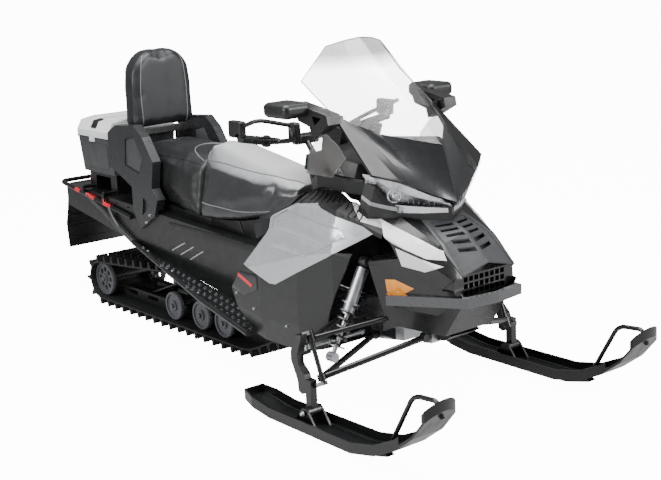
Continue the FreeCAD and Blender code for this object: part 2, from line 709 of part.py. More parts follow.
def bearing_shape():
    """The post at the tunnel's front with the bearing for the steering column."""
    axis = (bar_middle - column_low).normalize()
    radius = mm("column_radius")
    start, end = column_low - axis * radius, column_low + axis * radius * 4
    foot = spot("tunnel_front - column_radius * 2", 0, "tunnel_front_z")
    post = Part.makeLoft([
        Part.makePolygon([place + Vector(*corner) for corner in
                          ((-wide, -wide, 0), (wide, -wide, 0), (wide, wide, 0), (-wide, wide, 0), (-wide, -wide, 0))])
        for place, wide in ((foot, radius * 2), (start + axis * radius, radius * 1.2))], True, True)
    body = post.fuse(bar_between(start, end, radius * 1.8))
    return body.cut(bar_between(column_low, end + axis, radius + mm("pin_gap")))


piece("tunnel", together("Tunnel", [tunnel_sheet, shaped("ColumnBearing", bearing_shape())]))


def sprocket_shape():
    """A drive sprocket with one tooth for each window that it takes."""
    radius, root = mm("drive_radius - belt_gap"), mm("drive_radius - tooth")
    teeth = round(2 * math.pi * mm("drive_radius + belt / 2") / mm("lug_pitch"))
    outline = []
    for number in range(teeth):
        for share, reach in ((-0.36, root), (-0.17, radius), (0.17, radius), (0.36, root)):
            angle = 2 * math.pi * (number + share) / teeth
            outline.append(Vector(math.cos(angle) * reach, 0, math.sin(angle) * reach))
    face = Part.Face(Part.makePolygon(outline + outline[:1]))
    return face.extrude(Vector(0, mm("sprocket_width"), 0))


drive_axle = cylinder("DriveShaft", "drive_axle_radius", "2 * tunnel_half + 2 * sheet",
                      "drive_x", "-(tunnel_half + sheet)", "drive_z")
sprockets = []
for side in (-1, 1):
    sprocket = shaped("Sprocket", sprocket_shape())
    sprocket.setExpression("Placement.Base.x", bound("drive_x"))
    sprocket.setExpression("Placement.Base.y", bound("%d * sprocket_y - sprocket_width / 2" % side))
    sprocket.setExpression("Placement.Base.z", bound("drive_z"))
    sprockets.append(sprocket)
piece("drive_axle", together("DriveAxle", [drive_axle] + sprockets))

# Running boards: a sloping sheet with a turned edge and a tube along it
board_drop = [
    ("tunnel_low_x", "board_front_z"), ("board_rear", "board_rear_z"),
    ("board_rear", "board_rear_z - sheet"), ("tunnel_low_x", "board_front_z - sheet"),
]
board_plan = [
    ("tunnel_low_x", "tunnel_half + seat_gap"), ("board_rear", "tunnel_half + seat_gap"),
    ("board_rear", "tunnel_half + board_tube"), ("board_mid_x", "board_out_mid"),
    ("tunnel_low_x", "board_out_front"),
]
board_sheet = prism("BoardSheet", "XZ", "0", "board_out_front + overrun", board_drop)
board_cutter = prism("BoardPlan", "XY", "0", "tunnel_rear_z", board_plan)
board_plate = boolean("Common", "BoardPlate", board_sheet, board_cutter)


def board_tube_shape():
    """The tube along the outer edge, from the foot rest to the tunnel."""
    rise = mm("board_rear_z - board_front_z") / mm("board_rear - tunnel_low_x")
    places = [("tunnel_low_x", "board_out_front"), ("board_mid_x", "board_out_mid"),
              ("board_rear", "tunnel_half + board_tube")]
    route = []
    for forward, left in places:
        x = mm(forward)
        z = mm("board_front_z") + rise * (x - mm("tunnel_low_x")) + mm("board_tube / 2")
        route.append(Vector(x, mm(left), z))
    return bent_tube(route, mm("board_tube"), [mm("board_tube * 20")])


board = boolean("Fuse", "Board", board_plate, shaped("BoardTube", board_tube_shape()))
piece("running_boards", both_sides("Boards", board))

# Skis: sole, side walls and keel from one long outline, with a wear bar and a loop
SKI_RISE_SHARES = ((0.0, 0.0), (0.30, 0.10), (0.55, 0.29), (0.78, 0.57), (1.0, 1.0))
ski_low = "runner_radius + keel_deep"
ski_nose = [("keel_front + (reach - keel_front) * %g" % along,
             "%s + (ski_tip_z - %s) * %g" % (ski_low, ski_low, up)) for along, up in SKI_RISE_SHARES]
ski_under = [("ski_tail_x", "ski_tail_z"), ("keel_rear", ski_low)] + ski_nose
ski_over = [(forward, "%s + ski_sole" % up) for forward, up in reversed(ski_under)]
ski_rim = [(forward, "%s + ski_sole + ski_wall_z" % up) for forward, up in reversed(ski_under)]
ski_slab = prism("SkiSlab", "XZ", "ski_y - ski_half", "2 * ski_half", ski_under + ski_rim)
ski_room = prism("SkiRoom", "XZ", "ski_y - ski_half", "2 * ski_half", ski_over[::-1] +
                 [(forward, "%s + ski_tip_z" % up) for forward, up in ski_over])
ski_keel = prism("SkiKeel", "XZ", "ski_y - keel_half", "2 * keel_half", [
    ("keel_rear - keel_deep * 3", "ski_tail_z - keel_deep"), ("keel_rear", "runner_radius"),
    ("keel_front", "runner_radius"), ("keel_front + keel_deep * 7", "runner_radius + keel_deep * 1.6"),
    ("keel_front + keel_deep * 5", "keel_deep * 3"), ("keel_front", "%s + ski_sole / 2" % ski_low),
    ("keel_rear", "%s + ski_sole / 2" % ski_low), ("keel_rear - keel_deep * 3", "ski_tail_z - keel_deep / 4"),
])


def ski_plan(inset):
    """Plan of a ski: long sides, a narrow tail and a rounded tip."""
    half, tail, tip = mm("ski_half") - inset, mm("ski_tail_x") + inset, mm("reach") - inset
    y = mm("ski_y")
    left = [Vector(tail, y + half * 0.62, 0), Vector(tail + half, y + half * 0.88, 0),
            Vector(mm("keel_front"), y + half, 0), Vector(tip - 2.6 * half, y + half * 0.94, 0)]
    right = [Vector(p.x, 2 * y - p.y, 0) for p in left]
    nose = Part.Arc(left[-1], Vector(tip, y, 0), right[-1]).toShape()
    sides = [Part.makeLine(a, b) for points in (left, right) for a, b in zip(points, points[1:])]
    back = Part.makeLine(left[0], right[0])
    outline = Part.Wire(Part.__sortEdges__(sides + [nose, back]))
    return Part.Face(outline).extrude(Vector(0, 0, 2 * mm("ski_tip_z")))


def saddle(side):
    """One of the two plates that hold the ski bolt."""
    y = "ski_y + %d * (saddle_gap + saddle_thick / 2) - saddle_thick / 2" % side
    return prism("Saddle", "XZ", y, "saddle_thick", [
        ("ski_x - saddle_half", "%s + ski_sole / 2" % ski_low), ("ski_x + saddle_half", "%s + ski_sole / 2" % ski_low),
        ("ski_x + ski_bolt_radius * 2.4", "ski_bolt_z + ski_bolt_radius"),
        ("ski_x + ski_bolt_radius", "ski_bolt_z + ski_bolt_radius * 2.2"),
        ("ski_x - ski_bolt_radius", "ski_bolt_z + ski_bolt_radius * 2.2"),
        ("ski_x - ski_bolt_radius * 2.4", "ski_bolt_z + ski_bolt_radius"),
    ])


def ski_handle_shape():
    """The loop at a ski's tip, from its tip up and back down to the sole."""
    y, tip = mm("ski_y"), mm("reach - handle_radius")
    route = [Vector(tip - mm("handle_radius"), y, mm("ski_tip_z + ski_sole / 2")),
             Vector(tip - mm("handle_rise * 0.35"), y, mm("ski_tip_z + handle_rise * 0.72")),
             Vector(tip - mm("handle_rise * 1.7"), y, mm("ski_tip_z + handle_rise * 0.62")),
             Vector(tip - mm("handle_foot"), y, mm("ski_tip_z * 0.42"))]
    return bent_tube(route, mm("handle_radius"), [mm("handle_rise * 0.3"), mm("handle_rise * 0.8")])


def runner_shape():
    """The round steel bar under the keel."""
    y = mm("ski_y")
    route = [Vector(mm("keel_rear - keel_deep * 3"), y, mm("ski_tail_z - keel_deep * 0.6")),
             Vector(mm("keel_rear"), y, mm("runner_radius")), Vector(mm("keel_front"), y, mm("runner_radius")),
             Vector(mm("keel_front + keel_deep * 6"), y, mm("runner_radius + keel_deep * 1.4"))]
    return bent_tube(route, mm("runner_radius"), [mm("keel_deep * 8"), mm("keel_deep * 8")])


ski_blank = boolean("Common", "SkiBlank", ski_slab, shaped("SkiPlan", ski_plan(0)))
ski_core = boolean("Common", "SkiCore", ski_room, shaped("SkiInnerPlan", ski_plan(mm("ski_wall"))))
ski_trough = boolean("Cut", "SkiTrough", ski_blank, ski_core)
ski_bolt = cylinder("SkiBolt", "ski_bolt_radius", "2 * (saddle_gap + saddle_thick)",
                    "ski_x", "ski_y - saddle_gap - saddle_thick", "ski_bolt_z")
ski = together("SkiLeft", [ski_trough, ski_keel, saddle(-1), saddle(1), ski_bolt,
                           shaped("SkiLoop", ski_handle_shape()), shaped("SkiRunner", runner_shape())])
piece("ski_left", ski)
piece("ski_right", mirrored("SkiRight", ski))


# Spindles: a curved forging between the two ball joints and the ski bolt
pin_low, pin_top = spot("pin_low_x", "pin_y", "pin_low_z"), spot("pin_top_x", "pin_y", "pin_top_z")
pin_up = (pin_top - pin_low).normalize()
pin_ends = [pin_low - pin_up * mm("pin_over"), pin_top + pin_up * mm("pin_over")]
FORGING_SHARES = (
    (-0.42, 1.16), (0.30, 1.20), (0.05, 0.92), (-0.28, 0.60), (-0.22, 0.36), (0.42, 0.12), (0.62, -0.12),
    (0.60, -0.36), (0.10, -0.46), (-0.30, -0.40), (-0.36, -0.10), (-0.72, 0.20), (-1.02, 0.44), (-0.98, 0.66),
    (-0.70, 0.95),
)


def spindle_shape():
    """Forging outboard of the kingpin, ears round the pin's ends, hub round the ski bolt."""
    high = mm("pin_top_z - pin_low_z")
    wide = mm("pin_low_x - pin_top_x")
    outer = mm("ski_y - forging / 2")
    outline = [Vector(mm("pin_top_x") + wide * x, outer, mm("pin_low_z") + high * z) for x, z in FORGING_SHARES]
    body = Part.Face(Part.makePolygon(outline + outline[:1])).extrude(Vector(0, mm("forging"), 0))
    hub_radius = mm("ski_bolt_radius * 2.4")
    hub = Part.makeCylinder(hub_radius, 2 * mm("saddle_gap - pin_gap"),
                            Vector(mm("ski_x"), mm("ski_y - saddle_gap + pin_gap"), mm("ski_bolt_z")), Vector(0, 1, 0))
    foot = Part.makeBox(1.5 * hub_radius, mm("forging"), mm("pin_low_z - ski_bolt_z"),
                        Vector(mm("ski_x") - 0.75 * hub_radius, outer, mm("ski_bolt_z")))
    body = body.multiFuse([hub, foot])
    for end, inward in zip(pin_ends, (1, -1)):
        ear_base = end - pin_up * (mm("pin_over - eye_half - pin_gap * 4") if inward < 0 else 0)
        ear_high = mm("pin_over - eye_half - pin_gap * 4")
        ear = Part.makeCylinder(mm("pin_radius * 1.8"), ear_high, ear_base, pin_up)
        bridge = Part.makeBox(mm("pin_radius * 3"), mm("ski_y - pin_y"), ear_high)
        bridge.translate(Vector(-mm("pin_radius * 1.5"), 0, 0))
        bridge.Placement = Placement(ear_base, Rotation(Vector(0, 0, 1), pin_up)).multiply(bridge.Placement)
        body = body.multiFuse([ear, bridge])
    pin = bar_between(pin_ends[0], pin_ends[1], mm("pin_radius"))
    stud_foot = spot("tie_x", "tie_y", "tie_z") - pin_up * mm("eye_high / 2 + pin_gap + rod_radius")
    ahead = mm("pin_top_x") - wide * 0.75 - stud_foot.x
    arm_root = Vector(stud_foot.x + ahead, mm("ski_y"), stud_foot.z - ahead * pin_up.x / pin_up.z)
    toward = (stud_foot - arm_root).normalize()
    steer_arm = bar_between(arm_root, stud_foot + toward * mm("rod_radius"), mm("rod_radius"))
    stud = Part.makeCylinder(mm("stud_radius"), mm("rod_radius * 2 + eye_high + pin_gap * 2"), stud_foot, pin_up)
    nut = Part.makeCylinder(mm("stud_radius * 1.8"), mm("rod_radius"),
                            stud_foot + pin_up * mm("rod_radius + eye_high + pin_gap * 2"), pin_up)
    body = body.multiFuse([pin, steer_arm, stud, nut])
    return body.cut(Part.makeCylinder(mm("ski_bolt_radius + pin_gap / 2"), 2 * mm("ski_half"),
                                      Vector(mm("ski_x"), mm("ski_y - ski_half"), mm("ski_bolt_z")), Vector(0, 1, 0)))


spindle = shaped("SpindleLeft", spindle_shape())
piece("spindle_left", spindle)
piece("spindle_right", mirrored("SpindleRight", spindle))


def arm_shape(outer, inner_points, radius):
    """An A-shaped arm: an eye round the kingpin and two legs to its inner pivots."""
    eye = Part.makeCylinder(mm("eye_radius"), 2 * mm("eye_half"), outer - pin_up * mm("eye_half"), pin_up)
    body = eye
    for inner in inner_points:
        toward = (inner - outer).normalize()
        leg = bar_between(outer + toward * mm("eye_radius"), inner, radius)
        bush = Part.makeCylinder(radius * 1.5, 2 * mm("eye_half"), inner - Vector(mm("eye_half"), 0, 0), Vector(1, 0, 0))
        body = body.multiFuse([leg, bush])
    bore = Part.makeCylinder(mm("pin_radius + pin_gap"), 6 * mm("eye_half"), outer - pin_up * 3 * mm("eye_half"), pin_up)
    return body.cut(bore)


upper_arm = arm_shape(pin_top, [spot("upper_front_x", "upper_in_y", "upper_in_z"),
                                spot("upper_rear_x", "upper_in_y", "upper_in_z")], mm("arm_radius * 0.8"))
lower_arm = arm_shape(pin_low, [spot("lower_front_x", "lower_in_y", "lower_front_z"),
                                spot("lower_rear_x", "lower_in_y", "lower_rear_z")], mm("arm_radius"))
arms = together("ArmsLeft", [shaped("UpperArm", upper_arm), shaped("LowerArm", lower_arm)], False)
piece("suspension_arms", both_sides("Arms", arms))


def tie_rod_shape():
    """A rod with an eye on the spindle's stud and a ball joint at its inner end."""
    outer, inner = spot("tie_x", "tie_y", "tie_z"), spot("tie_x", "tie_in_y", "tie_z")
    high = mm("eye_high")
    rod = bar_between(outer, inner, mm("rod_radius"))
    eye = Part.makeCylinder(mm("rod_ball"), high, outer - pin_up * (high / 2), pin_up)
    bore = Part.makeCylinder(mm("stud_radius + pin_gap / 2"), 2 * high, outer - pin_up * high, pin_up)
    return rod.multiFuse([eye, Part.makeSphere(mm("rod_ball"), inner)]).cut(bore)


tie_rod = shaped("TieRodLeft", tie_rod_shape())
piece("tie_rod_left", tie_rod)
piece("tie_rod_right", mirrored("TieRodRight", tie_rod))


SPRING_SHARES = (0.43, 0.88)


def shock_shape(top, low, body_radius, rod_radius, coil_radius, along):
    """A damper: eyes, body tube, rod and spring seats; the spring is a separate helix."""
    axis = (low - top).normalize()
    long = top.distanceToPoint(low)
    body = bar_between(top + axis * body_radius, top + axis * long * 0.55, body_radius)
    rod = bar_between(top + axis * long * 0.5, low, rod_radius)
    eyes = [Part.makeCylinder(body_radius * 0.8, body_radius * 1.5, place - along * (body_radius * 0.75), along)
            for place in (top, low)]
    seats = [Part.makeCylinder(coil_radius + mm("wire_radius"), mm("wire_radius"), top + axis * long * share, axis)
             for share in SPRING_SHARES]
    return body.multiFuse([rod] + eyes + seats)


def spring_shape(top, low, coil_radius, turns):
    """A coil spring round a damper, between its two seats."""
    wire = mm("wire_radius")
    axis = (low - top).normalize()
    long = top.distanceToPoint(low)
    first = top + axis * (long * SPRING_SHARES[0] + 2 * wire + mm("seat_gap"))
    high = long * (SPRING_SHARES[1] - SPRING_SHARES[0]) - 3 * wire - 2 * mm("seat_gap")
    helix = Part.makeHelix(high / turns, high, coil_radius)
    rim = [Vector(coil_radius + wire * math.cos(math.radians(a)), 0, wire * math.sin(math.radians(a)))
           for a in range(0, 360, 60)]
    section = Part.Wire(Part.makePolygon(rim + rim[:1]))
    coil = Part.Wire(helix.Edges).makePipeShell([section], True, True)
    coil.Placement = Placement(first, Rotation(Vector(0, 0, 1), axis))
    return coil


front_top, front_low = spot("shock_top_x", "shock_top_y", "shock_top_z"), spot("shock_low_x", "shock_low_y", "shock_low_z")
front_spring = shaped("SpringLeft", spring_shape(front_top, front_low, mm("coil_radius"), 5))
front_shock = shaped("ShockLeft", shock_shape(front_top, front_low, mm("shock_radius"), mm("piston_radius"),
                                              mm("coil_radius"), Vector(1, 0, 0)))
piece("front_shocks", both_sides("Shocks", front_shock))
piece("front_springs", both_sides("Springs", front_spring))
skid_top = spot("rear_pivot_x", 0, "rear_pivot_z")
skid_shock = shock_shape(skid_top, skid_low, mm("skid_shock_radius"), mm("piston_radius"),
                         mm("skid_coil_radius"), Vector(0, 1, 0))
skid_shock = skid_shock.cut(Part.makeCompound([
    Part.makeCylinder(mm("arm_radius + seat_gap"), 2 * mm("rail_y"), place - Vector(0, mm("rail_y"), 0), Vector(0, 1, 0))
    for place in (skid_top, skid_low)]))
skid_spring = spring_shape(skid_top, skid_low, mm("skid_coil_radius"), 4)
piece("rear_shock", shaped("RearShock", Part.makeCompound([skid_shock, skid_spring])))


# Body shell: one lofted skin from which the panels are cut
STATION_SHARES = (0.0, 0.176, 0.366, 0.519, 0.672, 0.809, 0.884, 0.893)
LOW_SHARES = ((0.91, 0.05), (0.95, 0.0), (0.95, 0.0), (0.83, 0.08), (0.56, 0.22), (0.34, 0.19), (0.33, 0.385), (0.32, 0.40))
SILL_SHARES = ((0.97, 0.17), (1.0, 0.13), (1.0, 0.16), (0.925, 0.27), (0.575, 0.32), (0.435, 0.31), (0.385, 0.41), (0.37, 0.42))
WAIST_SHARES = ((0.965, 0.363), (0.99, 0.43), (1.0, 0.54), (0.95, 0.60), (0.64, 0.52), (0.49, 0.48), (0.435, 0.455), (0.41, 0.455))
SHOULDER_SHARES = ((0.855, 0.54), (0.925, 0.68), (0.91, 0.81), (0.845, 0.82), (0.68, 0.705), (0.53, 0.585), (0.42, 0.50), (0.40, 0.495))
DECK_SHARES = ((0.635, 0.62), (0.66, 0.77), (0.64, 0.885), (0.545, 0.885), (0.461, 0.79), (0.395, 0.67), (0.381, 0.548), (0.376, 0.535))
SPINE_SHARES = (0.65, 0.80, 0.91, 0.90, 0.815, 0.708, 0.592, 0.578)


def body_loft(name, inset):
    """The skin's outer or inner form, lofted through its eight sections."""
    sections = []
    for number, station in enumerate(STATION_SHARES):
        side = [rows[number] for rows in (LOW_SHARES, SILL_SHARES, WAIST_SHARES, SHOULDER_SHARES, DECK_SHARES)]
        signs = (1, 1, 0, -1, -1)
        right, left = [], []
        for (wide, high), sign in zip(side, signs):
            up = "body_low + body_height * %g + %s * %d" % (high, inset, sign)
            right.append(("-(body_half * %g - %s)" % (wide, inset), up))
            left.append(("body_half * %g - %s" % (wide, inset), up))
        top = [("0", "body_low + body_height * %g - %s" % (SPINE_SHARES[number], inset))]
        sections.append(profile("%s%d" % (name, number), "YZ", "body_rear + body_length * %g" % station,
                                right + top + left[::-1]))
    loft = doc.addObject("Part::Loft", name)
    loft.Sections = sections
    loft.Solid = True
    loft.Ruled = True
    return loft


body_skin = boolean("Cut", "BodySkin", body_loft("BodyOuter", "0"), body_loft("BodyInner", "wall"))
body_outside = body_loft("BodySeat", "-seat_gap")
body_corner, body_span = ("body_rear", "body_low"), ("body_length", "body_height")


def grown(name, source):
    """The seat for a neighbour: the same form, larger by the seat gap all round."""
    doc.recompute()
    return shaped(name, source.Shape.makeOffsetShape(mm("seat_gap"), mm("pin_gap") / 100, join=2))


SIDE_PANEL_SHARES = (
    (0.084, 0.412), (0.203, 0.615), (0.218, 0.652), (0.225, 0.726), (0.291, 0.781), (0.327, 0.810),
    (0.421, 0.832), (0.604, 0.745), (0.634, 0.712), (0.504, 0.574), (0.258, 0.352), (0.227, 0.347),
)
side_outline = in_box(body_corner, body_span, SIDE_PANEL_SHARES)
side_region = prism("SideRegion", "XZ", "side_in", "body_half", side_outline)
RECESS_SHARES = (
    (0.231, 0.659), (0.239, 0.715), (0.302, 0.775), (0.353, 0.768), (0.600, 0.703), (0.590, 0.676),
    (0.504, 0.615), (0.357, 0.649),
)
recess_region = prism("RecessRegion", "XZ", "side_in", "body_half", in_box(body_corner, body_span, RECESS_SHARES))
recess = boolean("Cut", "Recess", recess_region, body_loft("PanelFloor", "wall / 2"))
side_skin = boolean("Common", "SideSkin", body_skin, side_region)
side_panel = boolean("Cut", "SidePanelLeft", side_skin, recess)
piece("side_panels", both_sides("SidePanels", side_panel))
side_seat = grown("SideSeat", side_region)

BELLY_SHARES = (
    (0.010, 0.250), (0.060, 0.360), (0.258, 0.380), (0.508, 0.600), (0.575, 0.600),
    (0.519, 0.363), (0.473, 0.171), (0.450, -0.05), (0.150, -0.05), (0.124, 0.014), (0.047, 0.127),
)
belly_region = prism("BellyRegion", "XZ", "-(body_half + overrun)", "2 * (body_half + overrun)",
                     in_box(body_corner, body_span, BELLY_SHARES))
track_bay = block("TrackBay", "0", "-(tunnel_half + seat_gap)", "0",
                  "bay_front", "2 * (tunnel_half + seat_gap)", "tunnel_rear_z")
belly_wall = block("BellyWall", "tunnel_low_x + board_tube * 3", "-body_half", "body_low",
                   "wall", "2 * body_half", "body_height / 3")
body_outer = doc.getObject("BodyOuter")
belly_skin = boolean("Common", "BellySkin", body_skin, belly_region)
belly_end = boolean("Common", "BellyEnd", body_outer, belly_wall)
belly_room = together("BellyRoom", [side_seat, mirrored("SideSeatRight", side_seat), track_bay])
piece("belly_pan", boolean("Cut", "BellyPan", together("BellyShell", [belly_skin, belly_end]), belly_room))

VENT_SHARES = (
    (0.298, 0.780), (0.421, 0.810), (0.604, 0.730), (0.660, 0.690), (0.665, 0.716),
    (0.640, 0.765), (0.535, 0.845), (0.443, 0.882), (0.336, 0.872),
)
HOOD_SHARES = (
    (0.290, 0.830), (0.330, 0.880), (0.443, 0.892), (0.537, 0.855), (0.640, 0.765), (0.690, 0.665),
    (0.715, 0.557), (0.820, 0.455), (1.010, 0.445), (1.010, 1.050), (0.290, 1.050),
)
hood_region = prism("HoodRegion", "XZ", "-(body_half + overrun)", "2 * (body_half + overrun)",
                    in_box(body_corner, body_span, HOOD_SHARES))
hood_seat = grown("HoodSeat", hood_region)
vent_region = prism("VentRegion", "XZ", "side_in", "body_half", in_box(body_corner, body_span, VENT_SHARES))
vent_skin = boolean("Common", "VentSkin", body_skin, vent_region)
vent = boolean("Cut", "VentLeft", vent_skin, together("VentRoom", [side_seat, hood_seat]))
piece("side_vents", both_sides("Vents", vent))
BRACKET_SHARES = (
    (0.210, 0.640), (0.199, 0.616), (0.151, 0.575), (0.109, 0.683), (0.168, 0.714), (0.166, 0.800),
    (0.286, 0.860), (0.286, 0.790), (0.225, 0.730),
)
bracket_region = prism("BracketRegion", "XZ", "side_in", "body_half", in_box(body_corner, body_span, BRACKET_SHARES))
bracket_skin = boolean("Common", "BracketSkin", body_skin, bracket_region)
bracket = boolean("Cut", "BracketLeft", bracket_skin, side_seat)
piece("panel_brackets", both_sides("Brackets", bracket))

DECK_PLAN_SHARES = ((0.0, 0.62), (0.10, 0.80), (1.0, 1.0))


def deck_region(name, gap):
    """The front deck's outline in plan, from the lamps to the nose's front edge."""
    side = [("grille_rear + %s + (grille_front - grille_rear) * %g" % (gap, along), "deck_half * %g - %s" % (wide, gap))
            for along, wide in DECK_PLAN_SHARES]
    return prism(name, "XY", "mouth_top", "body_height", side + [(ahead, "-(%s)" % out) for ahead, out in side[::-1]])


MOUTH_SHARES = ((0.835, 0.453), (0.880, 0.521), (0.900, 0.527), (0.900, 0.453))
mouth_cut = prism("MouthCut", "XZ", "-body_half", "2 * body_half", in_box(body_corner, body_span, MOUTH_SHARES))
hood_skin = boolean("Common", "HoodSkin", body_skin, hood_region)
piece("hood", boolean("Cut", "Hood", hood_skin, together("HoodCuts", [deck_region("DeckHole", "0"), mouth_cut])))
grille_plate = boolean("Common", "GrillePlate", body_skin, deck_region("DeckRegion", "seat_gap"))


def grille_slots():
    """Rows of slots across the nose deck, shorter towards the tip."""
    slots = []
    step, wide = mm("slot_step"), mm("slot_high")
    count = int(mm("grille_front - grille_rear - slot_step * 2") // step)
    for number in range(count):
        x = mm("grille_rear + slot_step") + number * step
        for side in (-1, 1):
            root, tip = side * mm("slot_high * 0.8"), side * mm("deck_half * 0.76 - slot_high")
            sweep = mm("slot_high * 1.4")
            corners = [Vector(x, root, 0), Vector(x - sweep, tip, 0), Vector(x - sweep + wide, tip, 0),
                       Vector(x + wide * 1.2, root, 0)]
            slot = Part.Face(Part.makePolygon(corners + corners[:1])).extrude(Vector(0, 0, mm("body_height * 2")))
            slots.append(slot)
    return Part.makeCompound(slots)


piece("nose_grille", boolean("Cut", "NoseGrille", grille_plate, shaped("GrilleSlots", grille_slots())))

NOSE_SHARES = (
    (0.618, 0.565), (0.725, 0.600), (0.830, 0.500), (1.010, 0.480), (1.010, 0.300), (0.860, 0.100),
    (0.620, 0.100), (0.645, 0.270), (0.625, 0.480),
)
REFLECTOR_SHARES = ((0.655, 0.395), (0.690, 0.420), (0.742, 0.385), (0.705, 0.345))
nose_region = prism("NoseRegion", "XZ", "-(body_half + overrun)", "2 * (body_half + overrun)",
                    in_box(body_corner, body_span, NOSE_SHARES))
glass_region = prism("GlassRegion", "XZ", "0", "body_half", in_box(body_corner, body_span, REFLECTOR_SHARES))
glass = boolean("Common", "GlassLeft", body_skin, glass_region)
piece("reflectors", both_sides("Reflectors", glass))
glass_seat = grown("GlassSeat", glass_region)
nose_skin = boolean("Common", "NoseSkin", body_skin, nose_region)
frame_bay = block("FrameBay", "frame_rear", "-(lower_in_y + arm_radius * 2)", "0",
                  "frame_long + panel_gap", "2 * (lower_in_y + arm_radius * 2)", "frame_top")
upper_front = spot("upper_front_x", "upper_in_y", "upper_in_z")
leg_room = shaped("LegRoom", bar_between(pin_top, upper_front, mm("arm_radius + panel_gap")).fuse(
    bar_between(upper_front - Vector(mm("eye_half + panel_gap"), 0, 0), upper_front + Vector(mm("eye_half + panel_gap"), 0, 0),
                mm("arm_radius * 1.2 + panel_gap"))))
nose_room = together("NoseRoom", [hood_seat, glass_seat, mirrored("GlassSeatRight", glass_seat), frame_bay,
                                  leg_room, mirrored("LegRoomRight", leg_room)])
nose_shell = boolean("Cut", "NoseShell", nose_skin, nose_room)
mouth_block = block("MouthBlock", "mouth_rear", "-body_half", "body_low + body_height * 0.41",
                    "mouth_front - mouth_rear", "2 * body_half", "body_height * 0.115")
mouth_fill = boolean("Common", "MouthFill", body_loft("MouthForm", "(wall + seat_gap)"), mouth_block)


def mouth_grooves():
    """Shallow level grooves between the bars of the mouth's mesh, and upright ones across them."""
    deep, bar = mm("slot_high"), mm("slot_high / 2")
    low, top = mm("body_low + body_height * 0.41"), mm("body_low + body_height * 0.525")
    wide = mm("body_half * 0.30")
    cells = []
    rows, columns = 3, 8
    high = (top - low - bar) / rows
    across_step = 2 * wide / columns
    for row in range(rows):
        for column in range(columns):
            corner = Vector(mm("mouth_front") - deep, -wide + column * across_step + bar / 2, low + bar + row * high)
            cells.append(Part.makeBox(deep * 2, across_step - bar, high - bar, corner))
    return Part.makeCompound(cells)


mouth = boolean("Cut", "Mouth", mouth_fill, shaped("MouthGrooves", mouth_grooves()))
CHIN_SHARES = ((0.745, 0.190), (0.800, 0.170), (0.765, 0.135), (0.742, 0.130))
chin_rear = "frame_rear + frame_long + seat_gap"
chin_outline = in_box(body_corner, body_span, CHIN_SHARES)
chin_outline = [(chin_rear, chin_outline[0][1])] + chin_outline[1:-1] + [(chin_rear, chin_outline[-1][1])]
chin = prism("Chin", "XZ", "-(lower_in_y * 0.62)", "2 * lower_in_y * 0.62", chin_outline)
piece("lower_nose", together("LowerNose", [nose_shell, mouth, chin], False))

# Cowl, clear screen and lamps
PILLAR_SHARES = ((0.0, 0.0, 1.0), (0.46, 0.32, 0.44), (0.82, 0.66, 0.10), (1.0, 1.0, 0.0))
SCREEN_FOOT_SHARES = ((0.0, 0.0, 1.0), (0.06, 0.06, 0.90), (0.50, 0.34, 0.42), (1.0, 1.0, 0.0))
COWL_EDGE_SHARES = ((0.0, 0.0, 1.0), (0.40, 0.28, 0.78), (0.76, 0.66, 0.32), (1.0, 1.0, 0.0))


def edge_row(end, middle, shares):
    """Points from an outer corner to the middle, as shares of the way in x, y and z."""
    return [Vector(end.x + (middle.x - end.x) * along, end.y * (1 - inward), middle.z + (end.z - middle.z) * high)
            for along, inward, high in shares]


pillar = spot("pillar_x", "pillar_y", "pillar_z")
screen_foot = spot("screen_foot_x", 0, "screen_foot_z")
foot_row = edge_row(pillar, screen_foot, SCREEN_FOOT_SHARES)
crown = spot("screen_top_x", 0, "screen_top_z")
corner = spot("screen_corner_x", "screen_corner_y", "screen_corner_z")
top_row = [spot("screen_wing_x", "screen_wing_y", "screen_wing_z"), corner,
           (corner + crown) / 2 + Vector(mm("overrun"), 0, mm("screen_thick")), crown]
inward = Vector(-mm("screen_thick"), 0, -mm("screen_thick"))
rise = Vector(0, 0, mm("seat_gap"))


def screen_shape():
    """The clear screen, standing on the cowl's upper edge."""
    rows = [across([place + rise for place in foot_row]), across(top_row)]
    return slab(rows, shifted(rows, inward))


piece("windscreen", shaped("Screen", screen_shape()))

cowl_side = spot("cowl_side_x", "cowl_side_y", "cowl_side_z")
cowl_tip = spot("cowl_tip_x", 0, "cowl_tip_z")
cowl_row = edge_row(cowl_side, cowl_tip, COWL_EDGE_SHARES)
cowl_in = Vector(-mm("cowl_thick"), 0, -mm("cowl_thick"))
cowl_rows = [across(cowl_row), across(foot_row)]
piece("screen_cowl", shaped("Cowl", slab(cowl_rows, shifted(cowl_rows, cowl_in))))


LAMP_LOW_SHARES = ((-0.05, 0.06, 0.66), (0.06, 0.32, 0.02), (0.50, 0.64, -0.10), (0.82, 0.94, -0.20))
HOUSING_SHARES = ((-0.60, 0.12, -0.60), (-0.02, 0.38, -0.70), (0.45, 0.67, -0.80), (0.80, 1.0, -0.90))


def lamp_shape():
    """A wedge-shaped lens under the cowl's edge, from its tip out to the side."""
    top = edge_row(cowl_side, cowl_tip, COWL_EDGE_SHARES)
    top[-1] = top[-1] + Vector(-mm("lamp_gap"), mm("lamp_gap"), 0)
    top = [place - Vector(0, 0, mm("cowl_thick + seat_gap")) for place in top]
    low = edge_row(cowl_side, cowl_tip, LAMP_LOW_SHARES)
    bulge = Vector(mm("lamp_deep") * 0.2, 0, 0)
    middle = [(high + down) / 2 + bulge for high, down in zip(top, low)]
    rows = [low, middle, top]
    return slab(rows, shifted(rows, Vector(-mm("lamp_deep"), 0, 0)))


